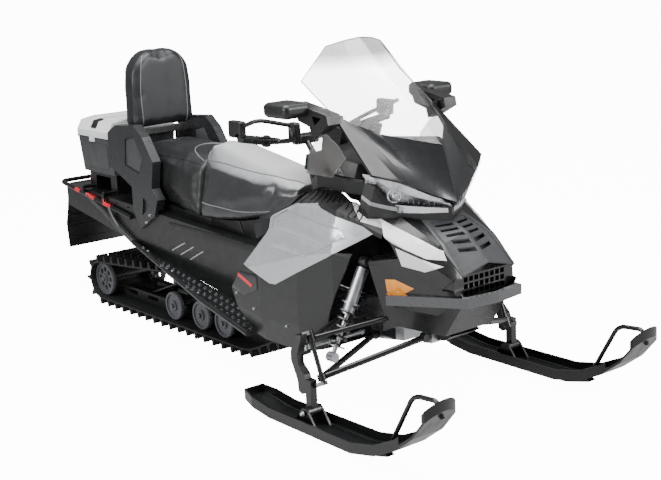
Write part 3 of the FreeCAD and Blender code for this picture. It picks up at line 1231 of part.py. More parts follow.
def housing_shape():
    """The dark tray that carries both lamps and the cowl on the hood."""
    drop = Vector(0, 0, -mm("seat_gap"))
    top = [place + drop for place in edge_row(cowl_side, cowl_tip, LAMP_LOW_SHARES)]
    top[-1] = Vector(top[-1].x, 0, top[-1].z)
    low = edge_row(cowl_side, cowl_tip, HOUSING_SHARES)
    rows = [across(low), across(top)]
    return slab(rows, shifted(rows, Vector(-mm("lamp_deep"), 0, 0)))


lamp = shaped("LampLeft", lamp_shape())
lamps = both_sides("Lamps", lamp)
piece("headlights", lamps)
lamp_seats = [body_outside]
for axis, text in (("z", "-seat_gap"), ("x", "seat_gap"), ("y", "-seat_gap"), ("y", "0")):
    lamp_seat = shaped("LampSeat", lamp_shape())
    lamp_seat.setExpression("Placement.Base." + axis, bound(text))
    lamp_seats += [lamp_seat, mirrored("LampSeatRight", lamp_seat)]
piece("lamp_housing", boolean("Cut", "LampHousing", shaped("HousingBlank", housing_shape()),
                              together("HousingCuts", lamp_seats)))

# Dash, instrument and side deflectors
def cross_loft(name, stations, sections, corner, span, half):
    """A body lofted through cross-sections: shares of a length, of a half width and of a height."""
    outlines = []
    for number, (station, rows) in enumerate(zip(stations, sections)):
        up = ["%s + (%s) * %g" % (corner[1], span[1], high) for _, high in rows]
        right = [("-(%s) * %g" % (half, wide), place) for (wide, _), place in zip(rows, up) if wide]
        left = [("(%s) * %g" % (half, wide), place) for (wide, _), place in zip(rows, up) if wide]
        top = [("0", place) for (wide, _), place in zip(rows, up) if not wide]
        outlines.append(profile("%s%d" % (name, number), "YZ", "%s + (%s) * %g" % (corner[0], span[0], station),
                                right + top + left[::-1]))
    loft = doc.addObject("Part::Loft", name)
    loft.Sections = outlines
    loft.Solid = True
    loft.Ruled = True
    return loft


DASH_STATION_SHARES = (0.0, 0.26, 0.62, 0.88, 1.0)
DASH_SECTION_SHARES = (
    ((0.50, 0.02), (0.53, 0.22), (0.58, 0.44), (0.50, 0.56), (0, 0.60)),
    ((0.75, 0.18), (0.75, 0.43), (0.96, 0.55), (0.92, 0.78), (0, 0.88)),
    ((0.75, 0.20), (0.75, 0.45), (1.00, 0.57), (0.98, 0.84), (0, 1.00)),
    ((0.69, 0.20), (0.70, 0.45), (0.93, 0.53), (0.86, 0.74), (0, 0.94)),
    ((0.40, 0.22), (0.42, 0.42), (0.58, 0.49), (0.50, 0.62), (0, 0.76)),
)
dash_form = cross_loft("DashForm", DASH_STATION_SHARES, DASH_SECTION_SHARES,
                       ("dash_rear", "dash_low"), ("dash_length", "dash_height"), "dash_half")
DIAL_SHARES = ((0.02, 0.56), (0.07, 1.08), (0.16, 1.15), (0.33, 1.10), (0.28, 0.84))
dial = prism("Instrument", "XZ", "-dial_half", "2 * dial_half",
             in_box(("dash_rear", "dash_low"), ("dash_length", "dash_height"), DIAL_SHARES))
dash_cuts = together("DashCuts", [body_outside, grown("DialSeat", dial)])
piece("dash", boolean("Cut", "Dash", dash_form, dash_cuts))
piece("instrument", dial)

SHIELD_SHARES = ((0.33, 0.50), (0.37, 0.86), (0.50, 1.12), (0.60, 1.19), (0.74, 1.04), (0.84, 0.84), (0.66, 0.50))
shield = prism("ShieldLeft", "XZ", "dash_half + seat_gap", "shield_thick",
               in_box(("dash_rear", "dash_low"), ("dash_length", "dash_height"), SHIELD_SHARES))
piece("side_deflectors", both_sides("Shields", shield))

# Engine and bulkhead
piece("engine", block("Engine", "engine_rear", "-engine_half", "frame_top + seat_gap",
                      "engine_long", "2 * engine_half", "engine_high"))


def frame_shape():
    """The alloy bulkhead between the arms, with posts and a cross tube for the shocks."""
    low_half = mm("lower_in_y - arm_radius * 1.5 - seat_gap")
    top_half = mm("upper_in_y - arm_radius * 1.2 - seat_gap")
    low, top = mm("frame_low"), mm("frame_top")
    step_low, step_top = mm("lower_front_z + arm_radius * 2.2"), mm("upper_in_z - arm_radius * 2")
    outline = [Vector(0, y, z) for y, z in ((low_half, low), (low_half, step_low), (top_half, step_top), (top_half, top))]
    outline += [Vector(0, -p.y, p.z) for p in reversed(outline)]
    body = Part.Face(Part.makePolygon(outline + outline[:1])).extrude(Vector(mm("frame_long"), 0, 0))
    body.translate(Vector(mm("frame_rear"), 0, 0))
    wide = 2 * top_half + 2 * mm("overrun")
    keel = [Vector(mm("frame_rear"), -wide / 2, low), Vector(mm("frame_rear + frame_long"), -wide / 2, low),
            Vector(mm("frame_rear + frame_long"), -wide / 2, low + mm("lower_front_z - lower_rear_z"))]
    body = body.cut(Part.Face(Part.makePolygon(keel + keel[:1])).extrude(Vector(0, wide, 0)))
    for start, share in ((0.12, 0.30), (0.56, 0.30)):
        window = Part.makeBox(mm("frame_long") * share, wide, (top - low) * 0.42,
                              Vector(mm("frame_rear") + mm("frame_long") * start, -wide / 2, low + (top - low) * 0.12))
        body = body.cut(window)
    x, z = mm("shock_top_x"), mm("shock_top_z")
    reach = mm("shock_top_y - shock_radius * 0.8 - seat_gap")
    tube = mm("arm_radius")
    body = body.fuse(Part.makeCylinder(tube, 2 * reach, Vector(x, -reach, z), Vector(0, 1, 0)))
    for side in (-1, 1):
        post = bar_between(Vector(x, side * top_half * 0.8, top - tube), Vector(x, side * reach * 0.7, z), tube)
        body = body.fuse(post)
    lug_y = mm("tunnel_half - sheet - seat_gap")
    lug = Vector(mm("bay_front - arm_radius * 2"), mm("arm_radius / 2"), mm("arm_radius * 4"))
    for side in (-1, 1):
        corner = Vector(mm("tunnel_front - arm_radius * 3"), side * lug_y - (lug.y if side > 0 else 0),
                        mm("tunnel_front_z - sheet - arm_radius * 6"))
        plate = Part.makeBox(lug.x - corner.x, lug.y, lug.z, corner)
        strut = bar_between(Vector(lug.x - tube, side * (lug_y - tube * 0.6), corner.z + tube * 2),
                            Vector(mm("frame_rear") + tube, side * (top_half - tube), top - tube), tube * 0.8)
        body = body.multiFuse([plate, strut])
    for y in (-low_half, low_half):
        for end in ("front", "rear"):
            pivot = Vector(mm("lower_%s_x" % end), y * 0.86, mm("lower_%s_z" % end))
            body = body.fuse(Part.makeCylinder(tube, tube, pivot, Vector(0, y, 0)))
    return body


piece("front_frame", shaped("FrontFrame", frame_shape()))


def bumper_shape():
    """The flattened bar round the nose."""
    thick, half = mm("bumper_thick"), mm("bumper_high") / 2
    outer = [spot("bumper_rear_x", "bumper_rear_y", "bumper_rear_z"),
             spot("bumper_corner_x", "bumper_corner_y", "bumper_z"), spot("bumper_x", 0, "bumper_z")]
    inner = [outer[0] - Vector(0, thick, 0), outer[1] - Vector(thick * 0.9, thick * 0.8, 0), outer[2] - Vector(thick, 0, 0)]
    lift = Vector(0, 0, half)
    return slab([across([p - lift for p in outer]), across([p + lift for p in outer])],
                [across([p - lift for p in inner]), across([p + lift for p in inner])])


piece("front_bumper", boolean("Cut", "Bumper", shaped("BumperBar", bumper_shape()), body_outside))

# Seats on their base
RIDER_STATION_SHARES = (0.0, 0.19, 0.45, 0.76, 1.0)
RIDER_SECTION_SHARES = (
    ((0.950, 0.00), (0.990, 0.09), (0.750, 0.75), (0.500, 0.96), (0, 1.00)),
    ((0.950, 0.01), (1.000, 0.09), (0.800, 0.67), (0.525, 0.88), (0, 0.91)),
    ((0.900, 0.06), (0.980, 0.15), (0.825, 0.61), (0.550, 0.79), (0, 0.82)),
    ((0.750, 0.18), (0.825, 0.24), (0.750, 0.58), (0.475, 0.70), (0, 0.72)),
    ((0.450, 0.33), (0.550, 0.38), (0.475, 0.58), (0.300, 0.62), (0, 0.63)),
)
rider_corner, rider_span = ("seat_split + seat_gap", "seat_base"), ("seat_front - seat_split", "seat_crest - seat_base")
rider_seat = cross_loft("RiderSeat", RIDER_STATION_SHARES, RIDER_SECTION_SHARES, rider_corner, rider_span, "seat_half")
piece("rider_seat", rider_seat)

PILLION_STATION_SHARES = (0.0, 0.45, 0.73, 1.0)
PILLION_SECTION_SHARES = (
    ((0.700, 0.07), (0.790, 0.14), (0.790, 0.72), (0.600, 0.84), (0, 0.86)),
    ((0.720, 0.04), (0.800, 0.12), (0.800, 0.74), (0.620, 0.85), (0, 0.87)),
    ((0.880, 0.02), (0.940, 0.12), (0.880, 0.70), (0.650, 0.81), (0, 0.83)),
    ((0.940, 0.00), (0.980, 0.09), (0.825, 0.63), (0.600, 0.76), (0, 0.79)),
)
pillion_seat = cross_loft("PillionSeat", PILLION_STATION_SHARES, PILLION_SECTION_SHARES,
                          ("seat_rear", "seat_base"),
                          ("seat_split - seat_gap - seat_rear", "seat_crest - seat_base"), "seat_half")
piece("passenger_seat", pillion_seat)


def tunnel_line(forward):
    """Height of the tunnel's top at a place along it."""
    return ("tunnel_front_z + (tunnel_rear_z - tunnel_front_z) * (tunnel_front - (%s)) / (tunnel_front - tunnel_rear)"
            % forward)


def seat_line(stations, sections, corner, span):
    """Lower edge of a seat, as points for the base under it."""
    return [("%s + (%s) * %g" % (corner[0], span[0], along), "%s + (%s) * %g - seat_gap" % (corner[1], span[1], rows[0][1]))
            for along, rows in zip(stations, sections)]


base_top = seat_line(PILLION_STATION_SHARES, PILLION_SECTION_SHARES, ("seat_rear", "seat_base"),
                     ("seat_split - seat_gap - seat_rear", "seat_crest - seat_base"))
base_top += seat_line(RIDER_STATION_SHARES, RIDER_SECTION_SHARES, rider_corner, rider_span)
base_low = [("seat_front", "%s + seat_gap" % tunnel_line("seat_front")),
            ("seat_rear", "%s + seat_gap" % tunnel_line("seat_rear"))]
seat_base = prism("SeatBase", "XZ", "-seat_half * 0.68", "2 * seat_half * 0.68", base_top + base_low)
piece("seat_base", seat_base)


def pad_shape():
    """The backrest: a tall pad with large round corners."""
    wide, thick, high = 2 * mm("pad_half"), mm("pad_thick"), mm("pad_top - pad_low")
    pad = Part.makeBox(thick, wide, high, Vector(mm("pad_x") - thick, -wide / 2, mm("pad_low")))
    upright = [edge for edge in pad.Edges if abs(edge.tangentAt(edge.FirstParameter).x) > 0.9]
    upper = [edge for edge in upright if edge.CenterOfMass.z > mm("pad_low") + high / 2]
    pad = pad.makeFillet(mm("pad_round"), upper)
    lower = [edge for edge in pad.Edges if abs(edge.tangentAt(edge.FirstParameter).x) > 0.9
             and edge.CenterOfMass.z < mm("pad_low") + mm("overrun") and edge.Length > thick / 2]
    pad = pad.makeFillet(mm("pad_round") / 3, lower)
    faces = [face for face in pad.Faces if abs(face.normalAt(0, 0).x) > 0.9]
    return pad.makeFillet(thick / 4, [edge for face in faces for edge in face.Edges])


piece("backrest", shaped("Backrest", pad_shape()))

post_foot = "%s + post_radius / 20 + seat_gap" % tunnel_line("pad_x - pad_thick / 2")
pad_posts = [cylinder("PadPost", "post_radius", "pad_low - seat_gap - (%s)" % post_foot,
                      "pad_x - pad_thick / 2", "%d * post_y" % side, post_foot, "Z") for side in (-1, 1)]
pad_bar = block("PadBar", "pad_x - pad_thick * 0.75", "-(post_y + post_radius * 2)", "pad_low - seat_gap - post_radius * 2",
                "pad_thick / 2", "2 * (post_y + post_radius * 2)", "post_radius * 2")
piece("backrest_frame", together("PadFrame", pad_posts + [pad_bar]))

GUARD_SHARES = (
    (0.00, 0.56), (0.02, 0.89), (0.20, 0.975), (0.61, 1.00), (0.77, 0.90), (0.96, 0.68), (0.90, 0.42),
    (1.00, 0.32), (0.92, 0.16), (0.60, 0.00), (0.47, 0.16), (0.47, 0.40), (0.20, 0.50),
)
guard_corner, guard_span = ("guard_rear", "guard_low"), ("guard_length", "guard_height")
guard_hull = prism("GuardHull", "XZ", "guard_in", "guard_out - guard_in", in_box(guard_corner, guard_span, GUARD_SHARES))
guard_room = block("GuardRoom", "guard_rear", "guard_in - overrun", "0", "guard_length * 2",
                   "tunnel_half + seat_gap - guard_in + overrun", "%s + seat_gap * 2" % tunnel_line("guard_rear"))
GUARD_INSET_SHARES = ((0.36, 0.60), (0.40, 0.86), (0.58, 0.90), (0.76, 0.68), (0.66, 0.54))
guard_inset = prism("GuardInset", "XZ", "guard_out - wall", "wall * 2",
                    in_box(guard_corner, guard_span, GUARD_INSET_SHARES))
GUARD_HOLE_SHARES = ((0.66, 0.14), (0.84, 0.25), (0.70, 0.32))
guard_hole = prism("GuardHole", "XZ", "guard_out - wall * 2", "wall * 4",
                   in_box(guard_corner, guard_span, GUARD_HOLE_SHARES))
guard = boolean("Cut", "GuardLeft", guard_hull, together("GuardCuts", [guard_room, guard_inset, guard_hole]))
piece("passenger_guards", both_sides("Guards", guard))

# Cargo box with a hinged lid, on its cradle
box_outline = [("box_half - box_taper", "box_low"), ("box_half", "box_rim"), ("-box_half", "box_rim"),
               ("-(box_half - box_taper)", "box_low")]
box_inner = [("box_half - box_taper - box_wall", "box_low + box_wall"), ("box_half - box_wall", "box_rim + overrun"),
             ("-(box_half - box_wall)", "box_rim + overrun"), ("-(box_half - box_taper - box_wall)", "box_low + box_wall")]
box_hull = prism("BoxHull", "YZ", "box_rear", "box_front - box_rear", box_outline)
box_room = prism("BoxRoom", "YZ", "box_rear + box_wall", "box_front - box_rear - 2 * box_wall", box_inner)
box_shell = boolean("Cut", "BoxShell", box_hull, box_room)

LID_SHARES = ((1.0, 0.0), (1.0, 0.35), (0.86, 0.88), (0.50, 1.0))
lid_half = [("(box_half + lid_overlap) * %g" % wide, "box_rim + seat_gap + (box_top - box_rim) * %g" % high)
            for wide, high in LID_SHARES]
lid_outline = lid_half + [("-(%s)" % wide, high) for wide, high in lid_half[::-1]]
lid_hull = prism("LidHull", "YZ", "box_rear - lid_overlap", "box_front - box_rear + 2 * lid_overlap", lid_outline)
lid_inner = [("(box_half + lid_overlap - box_wall) * %g" % wide, "%s - box_wall * 2" % high)
             for (wide, share), (half, high) in zip(LID_SHARES, lid_half)]
lid_inner += [("-(%s)" % wide, high) for wide, high in lid_inner[::-1]]
lid_room = prism("LidRoom", "YZ", "box_rear - lid_overlap + box_wall",
                 "box_front - box_rear + 2 * (lid_overlap - box_wall)", lid_inner)
lid_latch = block("LidLatch", "(box_rear + box_front) / 2 - box_taper", "-(box_half + lid_overlap + box_wall * 2)",
                  "box_rim - box_taper", "2 * box_taper", "box_wall * 2", "box_taper * 2")
lid_shell = boolean("Cut", "LidShell", lid_hull, lid_room)
hinge_y, hinge_places = mm("box_half + lid_overlap + hinge_radius * 1.6 + pin_gap"), []
for share in (0.25, 0.75):
    hinge_places.append(Vector(mm("box_rear") + mm("box_front - box_rear") * share, hinge_y, mm("box_rim")))


def knuckle(place, wide, tab_low, bore):
    """A hinge knuckle on the pin's line with a tab to its wall."""
    radius = mm("hinge_radius * 1.6")
    start = place - Vector(wide / 2, 0, 0)
    drum = Part.makeCylinder(radius, wide, start, Vector(1, 0, 0))
    reach = mm("lid_overlap + box_wall + hinge_radius * 1.6 + pin_gap")
    tab = Part.makeBox(wide, reach, radius - mm("seat_gap"), Vector(start.x, place.y - reach, place.z + tab_low))
    body = drum.fuse(tab)
    return body.cut(Part.makeCylinder(bore, 2 * wide, place - Vector(wide, 0, 0), Vector(1, 0, 0))) if bore else body


def box_hinges():
    """Two knuckles and the pin of each hinge, on the box."""
    wide, radius = mm("hinge_radius * 2.4"), mm("hinge_radius * 0.6")
    step = Vector(wide + mm("pin_gap"), 0, 0)
    parts = [knuckle(place + way, wide, -mm("hinge_radius * 1.6 + seat_gap"), 0)
             for place in hinge_places for way in (step, -step)]
    pins = [bar_between(place - step, place + step, radius) for place in hinge_places]
    return parts[0].multiFuse(parts[1:] + pins)


def lid_hinges():
    """The knuckle of each hinge on the lid, with its bore round the pin."""
    wide, bore = mm("hinge_radius * 2.4"), mm("hinge_radius * 0.6 + pin_gap / 2")
    first, second = [knuckle(place, wide, mm("seat_gap"), bore) for place in hinge_places]
    return Part.makeCompound([first, second])


box_knuckles = boolean("Cut", "BoxKnuckles", shaped("BoxHinges", box_hinges()), box_room)
piece("cargo_box", together("CargoBox", [box_shell, box_knuckles]))
lid_knuckles = boolean("Cut", "LidKnuckles", shaped("LidHinges", lid_hinges()), lid_room)
piece("cargo_lid", together("CargoLid", [lid_shell, lid_latch, lid_knuckles]))

cradle_line = ["box_rear + box_taper", "box_rear + box_taper * 4", "box_front - box_taper * 4", "box_front - box_taper"]
cradle_points = [(cradle_line[0], "box_low - seat_gap"), (cradle_line[3], "box_low - seat_gap")]
cradle_points += [(forward, "%s + seat_gap" % tunnel_line(forward)) for forward in cradle_line[3:1:-1]]
cradle_points += [(cradle_line[2], "box_low - box_taper"), (cradle_line[1], "box_low - box_taper")]
cradle_points += [(forward, "%s + seat_gap" % tunnel_line(forward)) for forward in cradle_line[1::-1]]
cradle = prism("Cradle", "XZ", "-box_half * 0.8", "2 * box_half * 0.8", cradle_points)


def rack_shape():
    """One tube: along the tunnel, round its rear end and back along the other side."""
    y = mm("tunnel_half + rack_tube + seat_gap")
    tube = mm("rack_tube")
    route = [Vector(mm("rack_front"), y, mm("rack_front_z")), Vector(mm("rack_rear") + tube, y, mm("rack_rear_z")),
             Vector(mm("rack_rear") + tube, -y, mm("rack_rear_z")), Vector(mm("rack_front"), -y, mm("rack_front_z"))]
    rise = mm("rack_rear_z - rack_front_z") / mm("rack_rear + rack_tube - rack_front")
    frame = bent_tube(route, tube, [tube * 3, tube * 3])
    for name in ("box_rear + box_taper * 2.5", "box_front - box_taper * 2.5"):
        x = mm(name)
        z = mm("rack_front_z") + rise * (x - mm("rack_front"))
        top = mm(tunnel_line(name)) + tube * 1.2
        corners = [Vector(x, side * y, top) for side in (-1, 1)]
        frame = frame.multiFuse([bar_between(corners[0], corners[1], tube * 0.9)] +
                                [bar_between(Vector(x, corner.y, z), corner, tube * 0.9) for corner in corners])
    return frame


piece("rear_rack", together("Rack", [shaped("RackTubes", rack_shape()), cradle]))

FLAP_SHARES = ((0.0, 0.0), (0.55, 0.42), (1.0, 0.64), (0.78, 1.0))
flap_back = [("tunnel_rear - seat_gap - (reach + tunnel_rear - flap_thick - seat_gap) * %g" % out,
              "tunnel_rear_z - sheet - (tunnel_rear_z - flap_low) * %g" % drop) for out, drop in FLAP_SHARES]
flap_face = [("%s - flap_thick" % forward, up) for forward, up in reversed(flap_back)]
piece("snow_flap", prism("Flap", "XZ", "-flap_half", "2 * flap_half", flap_back + flap_face))

piece("tail_light", block("TailLight", "tunnel_rear + overrun", "-pad_half * 0.4", "tunnel_rear_z + seat_gap",
                          "overrun * 3", "2 * pad_half * 0.4", "overrun * 2"))

# Steering: column, bar, grips and hand guards
bar_end = spot("bar_end_x", "bar_end_y", "bar_end_z")
BAR_SHARES = ((0.0, 0.26, 0.0), (0.25, 0.46, 0.15), (1.0, 1.0, 1.0))


def bar_place(shares):
    """A point between the bar's middle and its left end."""
    ahead, out, high = shares
    return bar_middle + Vector((bar_end.x - bar_middle.x) * ahead, bar_end.y * out, (bar_end.z - bar_middle.z) * high)


bar_route = [bar_place(shares) for shares in BAR_SHARES]


def handlebar_shape():
    """The column with its clamp and the bent bar."""
    radius = mm("bar_radius")
    route = [Vector(p.x, -p.y, p.z) for p in reversed(bar_route)] + bar_route
    bar = bent_tube(route, radius, [mm("bar_radius * 4")] * (len(route) - 2))
    column_foot = column_low + (bar_middle - column_low).normalize() * mm("seat_gap")
    column = bar_between(column_foot, bar_middle, mm("column_radius"))
    clamp = Part.makeBox(mm("bar_radius * 4"), mm("bar_radius * 10"), mm("bar_radius * 4"),
                         bar_middle - Vector(mm("bar_radius * 2"), mm("bar_radius * 5"), mm("bar_radius * 2")))
    clamp = clamp.makeFillet(radius, [e for e in clamp.Edges if abs(e.tangentAt(e.FirstParameter).y) > 0.9])
    return bar.multiFuse([column, clamp])


piece("handlebar", shaped("Handlebar", handlebar_shape()))


def grip_shape():
    """A grip over the end of the bar, with a flange at its inner end."""
    start, end = bar_route[-2], bar_route[-1]
    axis = (end - start).normalize()
    inner = start + axis * mm("grip_radius * 3")
    grip = bar_between(inner, end + axis * mm("grip_radius / 2"), mm("grip_radius"))
    flange = bar_between(inner, inner + axis * mm("bar_radius"), mm("grip_radius * 1.5"))
    return grip.fuse(flange).cut(bar_between(start, end, mm("bar_radius + seat_gap")))


grip = shaped("GripLeft", grip_shape())
piece("grips", both_sides("Grips", grip))


def hand_guard_shape():
    """A tube loop in front of a grip, from the bar's end to its clamp, with a control block."""
    radius = mm("bar_radius * 0.8")
    end = bar_route[-1]
    out = end + Vector(-mm("grip_radius"), mm("grip_radius * 0.4"), mm("grip_radius * 2.2"))
    route = [out, out + Vector(mm("grip_radius * 7"), -mm("grip_radius"), mm("grip_radius * 2.6")),
             bar_middle + Vector(mm("grip_radius * 10"), mm("bar_end_y * 0.52"), mm("grip_radius * 5.4")),
             bar_middle + Vector(mm("grip_radius * 4"), mm("bar_end_y * 0.30"), mm("bar_radius * 2"))]
    loop = bent_tube(route, radius, [mm("grip_radius * 2"), mm("grip_radius * 3")])
    block_size = Vector(mm("grip_radius * 5"), mm("grip_radius * 2"), mm("grip_radius * 4"))
    pod = Part.makeBox(block_size.x, block_size.y, block_size.z,
                       out - Vector(block_size.x / 2, block_size.y / 2, block_size.z / 2))
    pod = pod.makeFillet(mm("grip_radius") / 2, pod.Edges)
    pod = pod.cut(bar_between(bar_route[-2], end + (end - bar_route[-2]), mm("grip_radius + seat_gap")))
    inner = Part.makeBox(mm("grip_radius * 3"), mm("grip_radius * 2"), mm("grip_radius * 5"),
                         route[-1] - Vector(mm("grip_radius"), mm("grip_radius"), mm("grip_radius * 1.2")))
    inner = inner.makeFillet(mm("grip_radius") / 2, inner.Edges)
    inner = inner.cut(bar_between(bar_route[0], bar_route[1], mm("bar_radius + seat_gap")))
    return loop.multiFuse([pod, inner])


hand_guard = shaped("HandGuardLeft", hand_guard_shape())
piece("hand_guards", both_sides("HandGuards", hand_guard))

# Mirrors on arms at the cowl's pillars
MIRROR_ARM_SHARES = ((-0.10, 0.35), (0.62, 0.05), (1.25, -0.25), (1.30, -0.85), (0.62, -1.75), (0.55, -1.10), (0.10, -0.80))
mirror_arm = prism("MirrorArm", "XZ", "pillar_y + cowl_thick * 3", "mirror_y - mirror_wide / 2 - pillar_y + cowl_thick",
                   [("mirror_x + mirror_long * %g" % along, "mirror_z + mirror_high * %g" % up)
                    for along, up in MIRROR_ARM_SHARES])


def mirror_head_shape():
    """A rounded shell that is flat at the back."""
    long, wide, high = mm("mirror_long"), mm("mirror_wide"), mm("mirror_high")
    low = Vector(mm("mirror_x") - long / 2, mm("mirror_y") - wide / 2, mm("mirror_z") - high / 2)
    head = Part.makeBox(long, wide, high, low)
    return head.makeFillet(high * 0.38, head.Edges)


mirror_foot = block("MirrorFoot", "pillar_x + seat_gap",
                    "pillar_y + (cowl_side_y - pillar_y) * mirror_foot * 1.28 / (cowl_side_x - pillar_x) + seat_gap",
                    "pillar_z - mirror_foot * 1.5", "mirror_foot", "mirror_foot", "mirror_foot * 1.5")
ARM_HOLE_SHARES = ((0.66, -0.36), (1.04, -0.46), (0.76, -0.98))
arm_hole = prism("ArmHole", "XZ", "pillar_y", "mirror_y - pillar_y",
                 [("mirror_x + mirror_long * %g" % along, "mirror_z + mirror_high * %g" % up)
                  for along, up in ARM_HOLE_SHARES])
pierced_arm = boolean("Cut", "PiercedArm", mirror_arm, arm_hole)
mirror = together("MirrorLeft", [shaped("MirrorHead", mirror_head_shape()), pierced_arm, mirror_foot])
piece("mirrors", both_sides("Mirrors", mirror))


# Check and write every sub-part
doc.recompute()
for feature in doc.Objects:
    if {"Invalid", "Error"} & set(feature.State):
        raise RuntimeError("failed: %s %s" % (feature.Name, feature.State))
for feature in PIECES:
    shape = feature.Shape
    if shape.isNull() or not shape.isValid() or not shape.Solids:
        raise RuntimeError("bad shape: " + feature.Label)
    shape.exportStep("parts/%s.step" % feature.Label)
print(len(PIECES), "sub-parts")
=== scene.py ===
# %% [markdown]
# # A two-seat touring snowmobile
# The CAD model is loaded first and stays as it is: its pieces are in metres, with X forward, Y to the
# rider's left and Z up. This lesson dresses it. Each piece or finish has a few sentences on what it is
# on the real machine, how it could be made, and why this way was chosen.

# %% The frame from the CAD model
import math
import bpy
import numpy as np
from mathutils import Matrix, Vector


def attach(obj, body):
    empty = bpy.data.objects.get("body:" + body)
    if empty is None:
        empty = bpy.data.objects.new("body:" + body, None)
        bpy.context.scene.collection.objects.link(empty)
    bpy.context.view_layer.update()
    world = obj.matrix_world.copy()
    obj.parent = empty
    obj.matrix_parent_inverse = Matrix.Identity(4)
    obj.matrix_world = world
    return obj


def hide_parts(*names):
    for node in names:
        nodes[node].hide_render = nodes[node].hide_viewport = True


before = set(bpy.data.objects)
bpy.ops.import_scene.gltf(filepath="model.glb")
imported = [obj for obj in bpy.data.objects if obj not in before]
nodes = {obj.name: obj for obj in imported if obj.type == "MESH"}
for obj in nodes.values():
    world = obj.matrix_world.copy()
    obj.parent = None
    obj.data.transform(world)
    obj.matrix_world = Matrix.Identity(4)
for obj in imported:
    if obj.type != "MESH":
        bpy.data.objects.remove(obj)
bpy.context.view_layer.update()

# %% [markdown]
# ## Units and colours
# Places are easiest to read in millimetres, as a workshop drawing gives them, while Blender works in
# metres. Colours are read off a picture as sRGB hex values, and the shader wants linear light, so one
# function turns them along the standard's curve.

# %% Millimetres and hex colours
MM = 0.001


def per_m(size_mm):
    """The texture scale that makes a pattern repeat about every size_mm."""
    return 1000 / size_mm


def linear(hex_colour):
    """An sRGB hex colour as linear red, green, blue and alpha."""
    parts = [int(hex_colour[i:i + 2], 16) / 255 for i in (0, 2, 4)]
    return [c / 12.92 if c <= 0.04045 else ((c + 0.055) / 1.055) ** 2.4 for c in parts] + [1.0]


print("seat vinyl in linear light", [round(c, 3) for c in linear("2A2B2D")])

# %% [markdown]
# ## One helper for shader nodes
# A finish is a small graph: a pattern, a colour from it, and a bump from it. One function adds any
# node with its settings and links, so that every finish below reads as a short list.

# %% Add a shader node
# The Mix node repeats its socket names for each kind of data, so those for colours go by number.
FACTOR, COLOUR_A, COLOUR_B, MIXED = 0, 6, 7, 2


def add(owner, kind, inputs=None, **settings):
    """Adds a node; inputs fills sockets by name or number, from a value or another node's socket."""
    tree = owner.node_tree
    made = tree.nodes.new(kind)
    for name, value in settings.items():
        setattr(made, name, value)
    for socket, value in (inputs or {}).items():
        if isinstance(value, bpy.types.NodeSocket):
            tree.links.new(value, made.inputs[socket])
        else:
            made.inputs[socket].default_value = value
    return made


def blank(name):
    """A new material with its shader, its output and Object coordinates in metres."""
    material = bpy.data.materials.new(name)
    material.use_nodes = True
    material.node_tree.nodes.clear()
    shader = add(material, "ShaderNodeBsdfPrincipled")
    add(material, "ShaderNodeOutputMaterial", {"Surface": shader.outputs["BSDF"]})
    place = add(material, "ShaderNodeTexCoord").outputs["Object"]
    return material, shader, place


def wire(owner, output, shader, socket):
    """Joins one output to the shader's socket."""
    owner.node_tree.links.new(output, shader.inputs[socket])


print("helper for nodes ready")

# %% [markdown]
# ## What most finishes share
# Moulded plastic, powder coat, rubber and cast metal all have a colour that drifts a little over a
# hand's width, a fine grain that catches the light, and places that are rubbed smoother. The three
# are noise patterns of different sizes. Their sizes are given in millimetres of the real surface.
# Grain that is too fine for the picture is drawn as coarse as it needs to show.

# %% A finish with drift, grain and rubbed places
PLASTIC_IOR = 1.5
COAT_ROUGHNESS = 0.08
RUBBED_FROM, RUBBED_TO = 0.3, 0.7


def layered(name, light, dark, roughness, grain_mm, depth_mm, metallic=0.0, coat=0.0,
            spread=0.08, patch_mm=120, stretch=(1, 1, 1)):
    """A colour that drifts between light and dark, with bumps depth_mm high every grain_mm."""
    material, shader, place = blank(name)
    drift = add(material, "ShaderNodeTexNoise",
                {"Vector": place, "Scale": per_m(patch_mm), "Detail": 4})
    colour = add(material, "ShaderNodeMix",
                 {FACTOR: drift.outputs["Fac"], COLOUR_A: linear(dark), COLOUR_B: linear(light)},
                 data_type="RGBA").outputs[MIXED]
    wire(material, colour, shader, "Base Color")
    pulled = add(material, "ShaderNodeMapping", {"Vector": place, "Scale": stretch})
    grain = add(material, "ShaderNodeTexNoise",
                {"Vector": pulled.outputs[0], "Scale": per_m(grain_mm), "Detail": 3})
    bump = add(material, "ShaderNodeBump",
               {"Height": grain.outputs["Fac"], "Distance": depth_mm * MM})
    wire(material, bump.outputs[0], shader, "Normal")
    rubbed = add(material, "ShaderNodeTexNoise",
                 {"Vector": pulled.outputs[0], "Scale": per_m(patch_mm / 3), "Detail": 5})
    sheen = add(material, "ShaderNodeMapRange",
                {"Value": rubbed.outputs["Fac"], "From Min": RUBBED_FROM, "From Max": RUBBED_TO,
                 "To Min": roughness - spread, "To Max": roughness + spread})
    wire(material, sheen.outputs[0], shader, "Roughness")
    shader.inputs["Metallic"].default_value = metallic
    if not metallic:
        shader.inputs["IOR"].default_value = PLASTIC_IOR
    shader.inputs["Coat Weight"].default_value = coat
    shader.inputs["Coat Roughness"].default_value = COAT_ROUGHNESS
    return material, shader, place, bump, colour


def finish(*values, **more):
    """The same, where only the material is needed."""
    return layered(*values, **more)[0]


print("shared finish ready")

# %% [markdown]
# ## The finishes
# Each is named for the real material and the way its surface was made. The body panels are moulded
# plastic, glossy where they are painted and grained where they are bare. The frame is powder-coated
# steel, the bulkhead is bare cast aluminium, and the track is vulcanised rubber.

# %% Plastics
# Bare polypropylene from a grained mould: dull, near black, a fine pebble that breaks up highlights.
grained_plastic = finish("black_grained_polypropylene", "131415", "0B0C0D", 0.42, 2.2, 0.08)
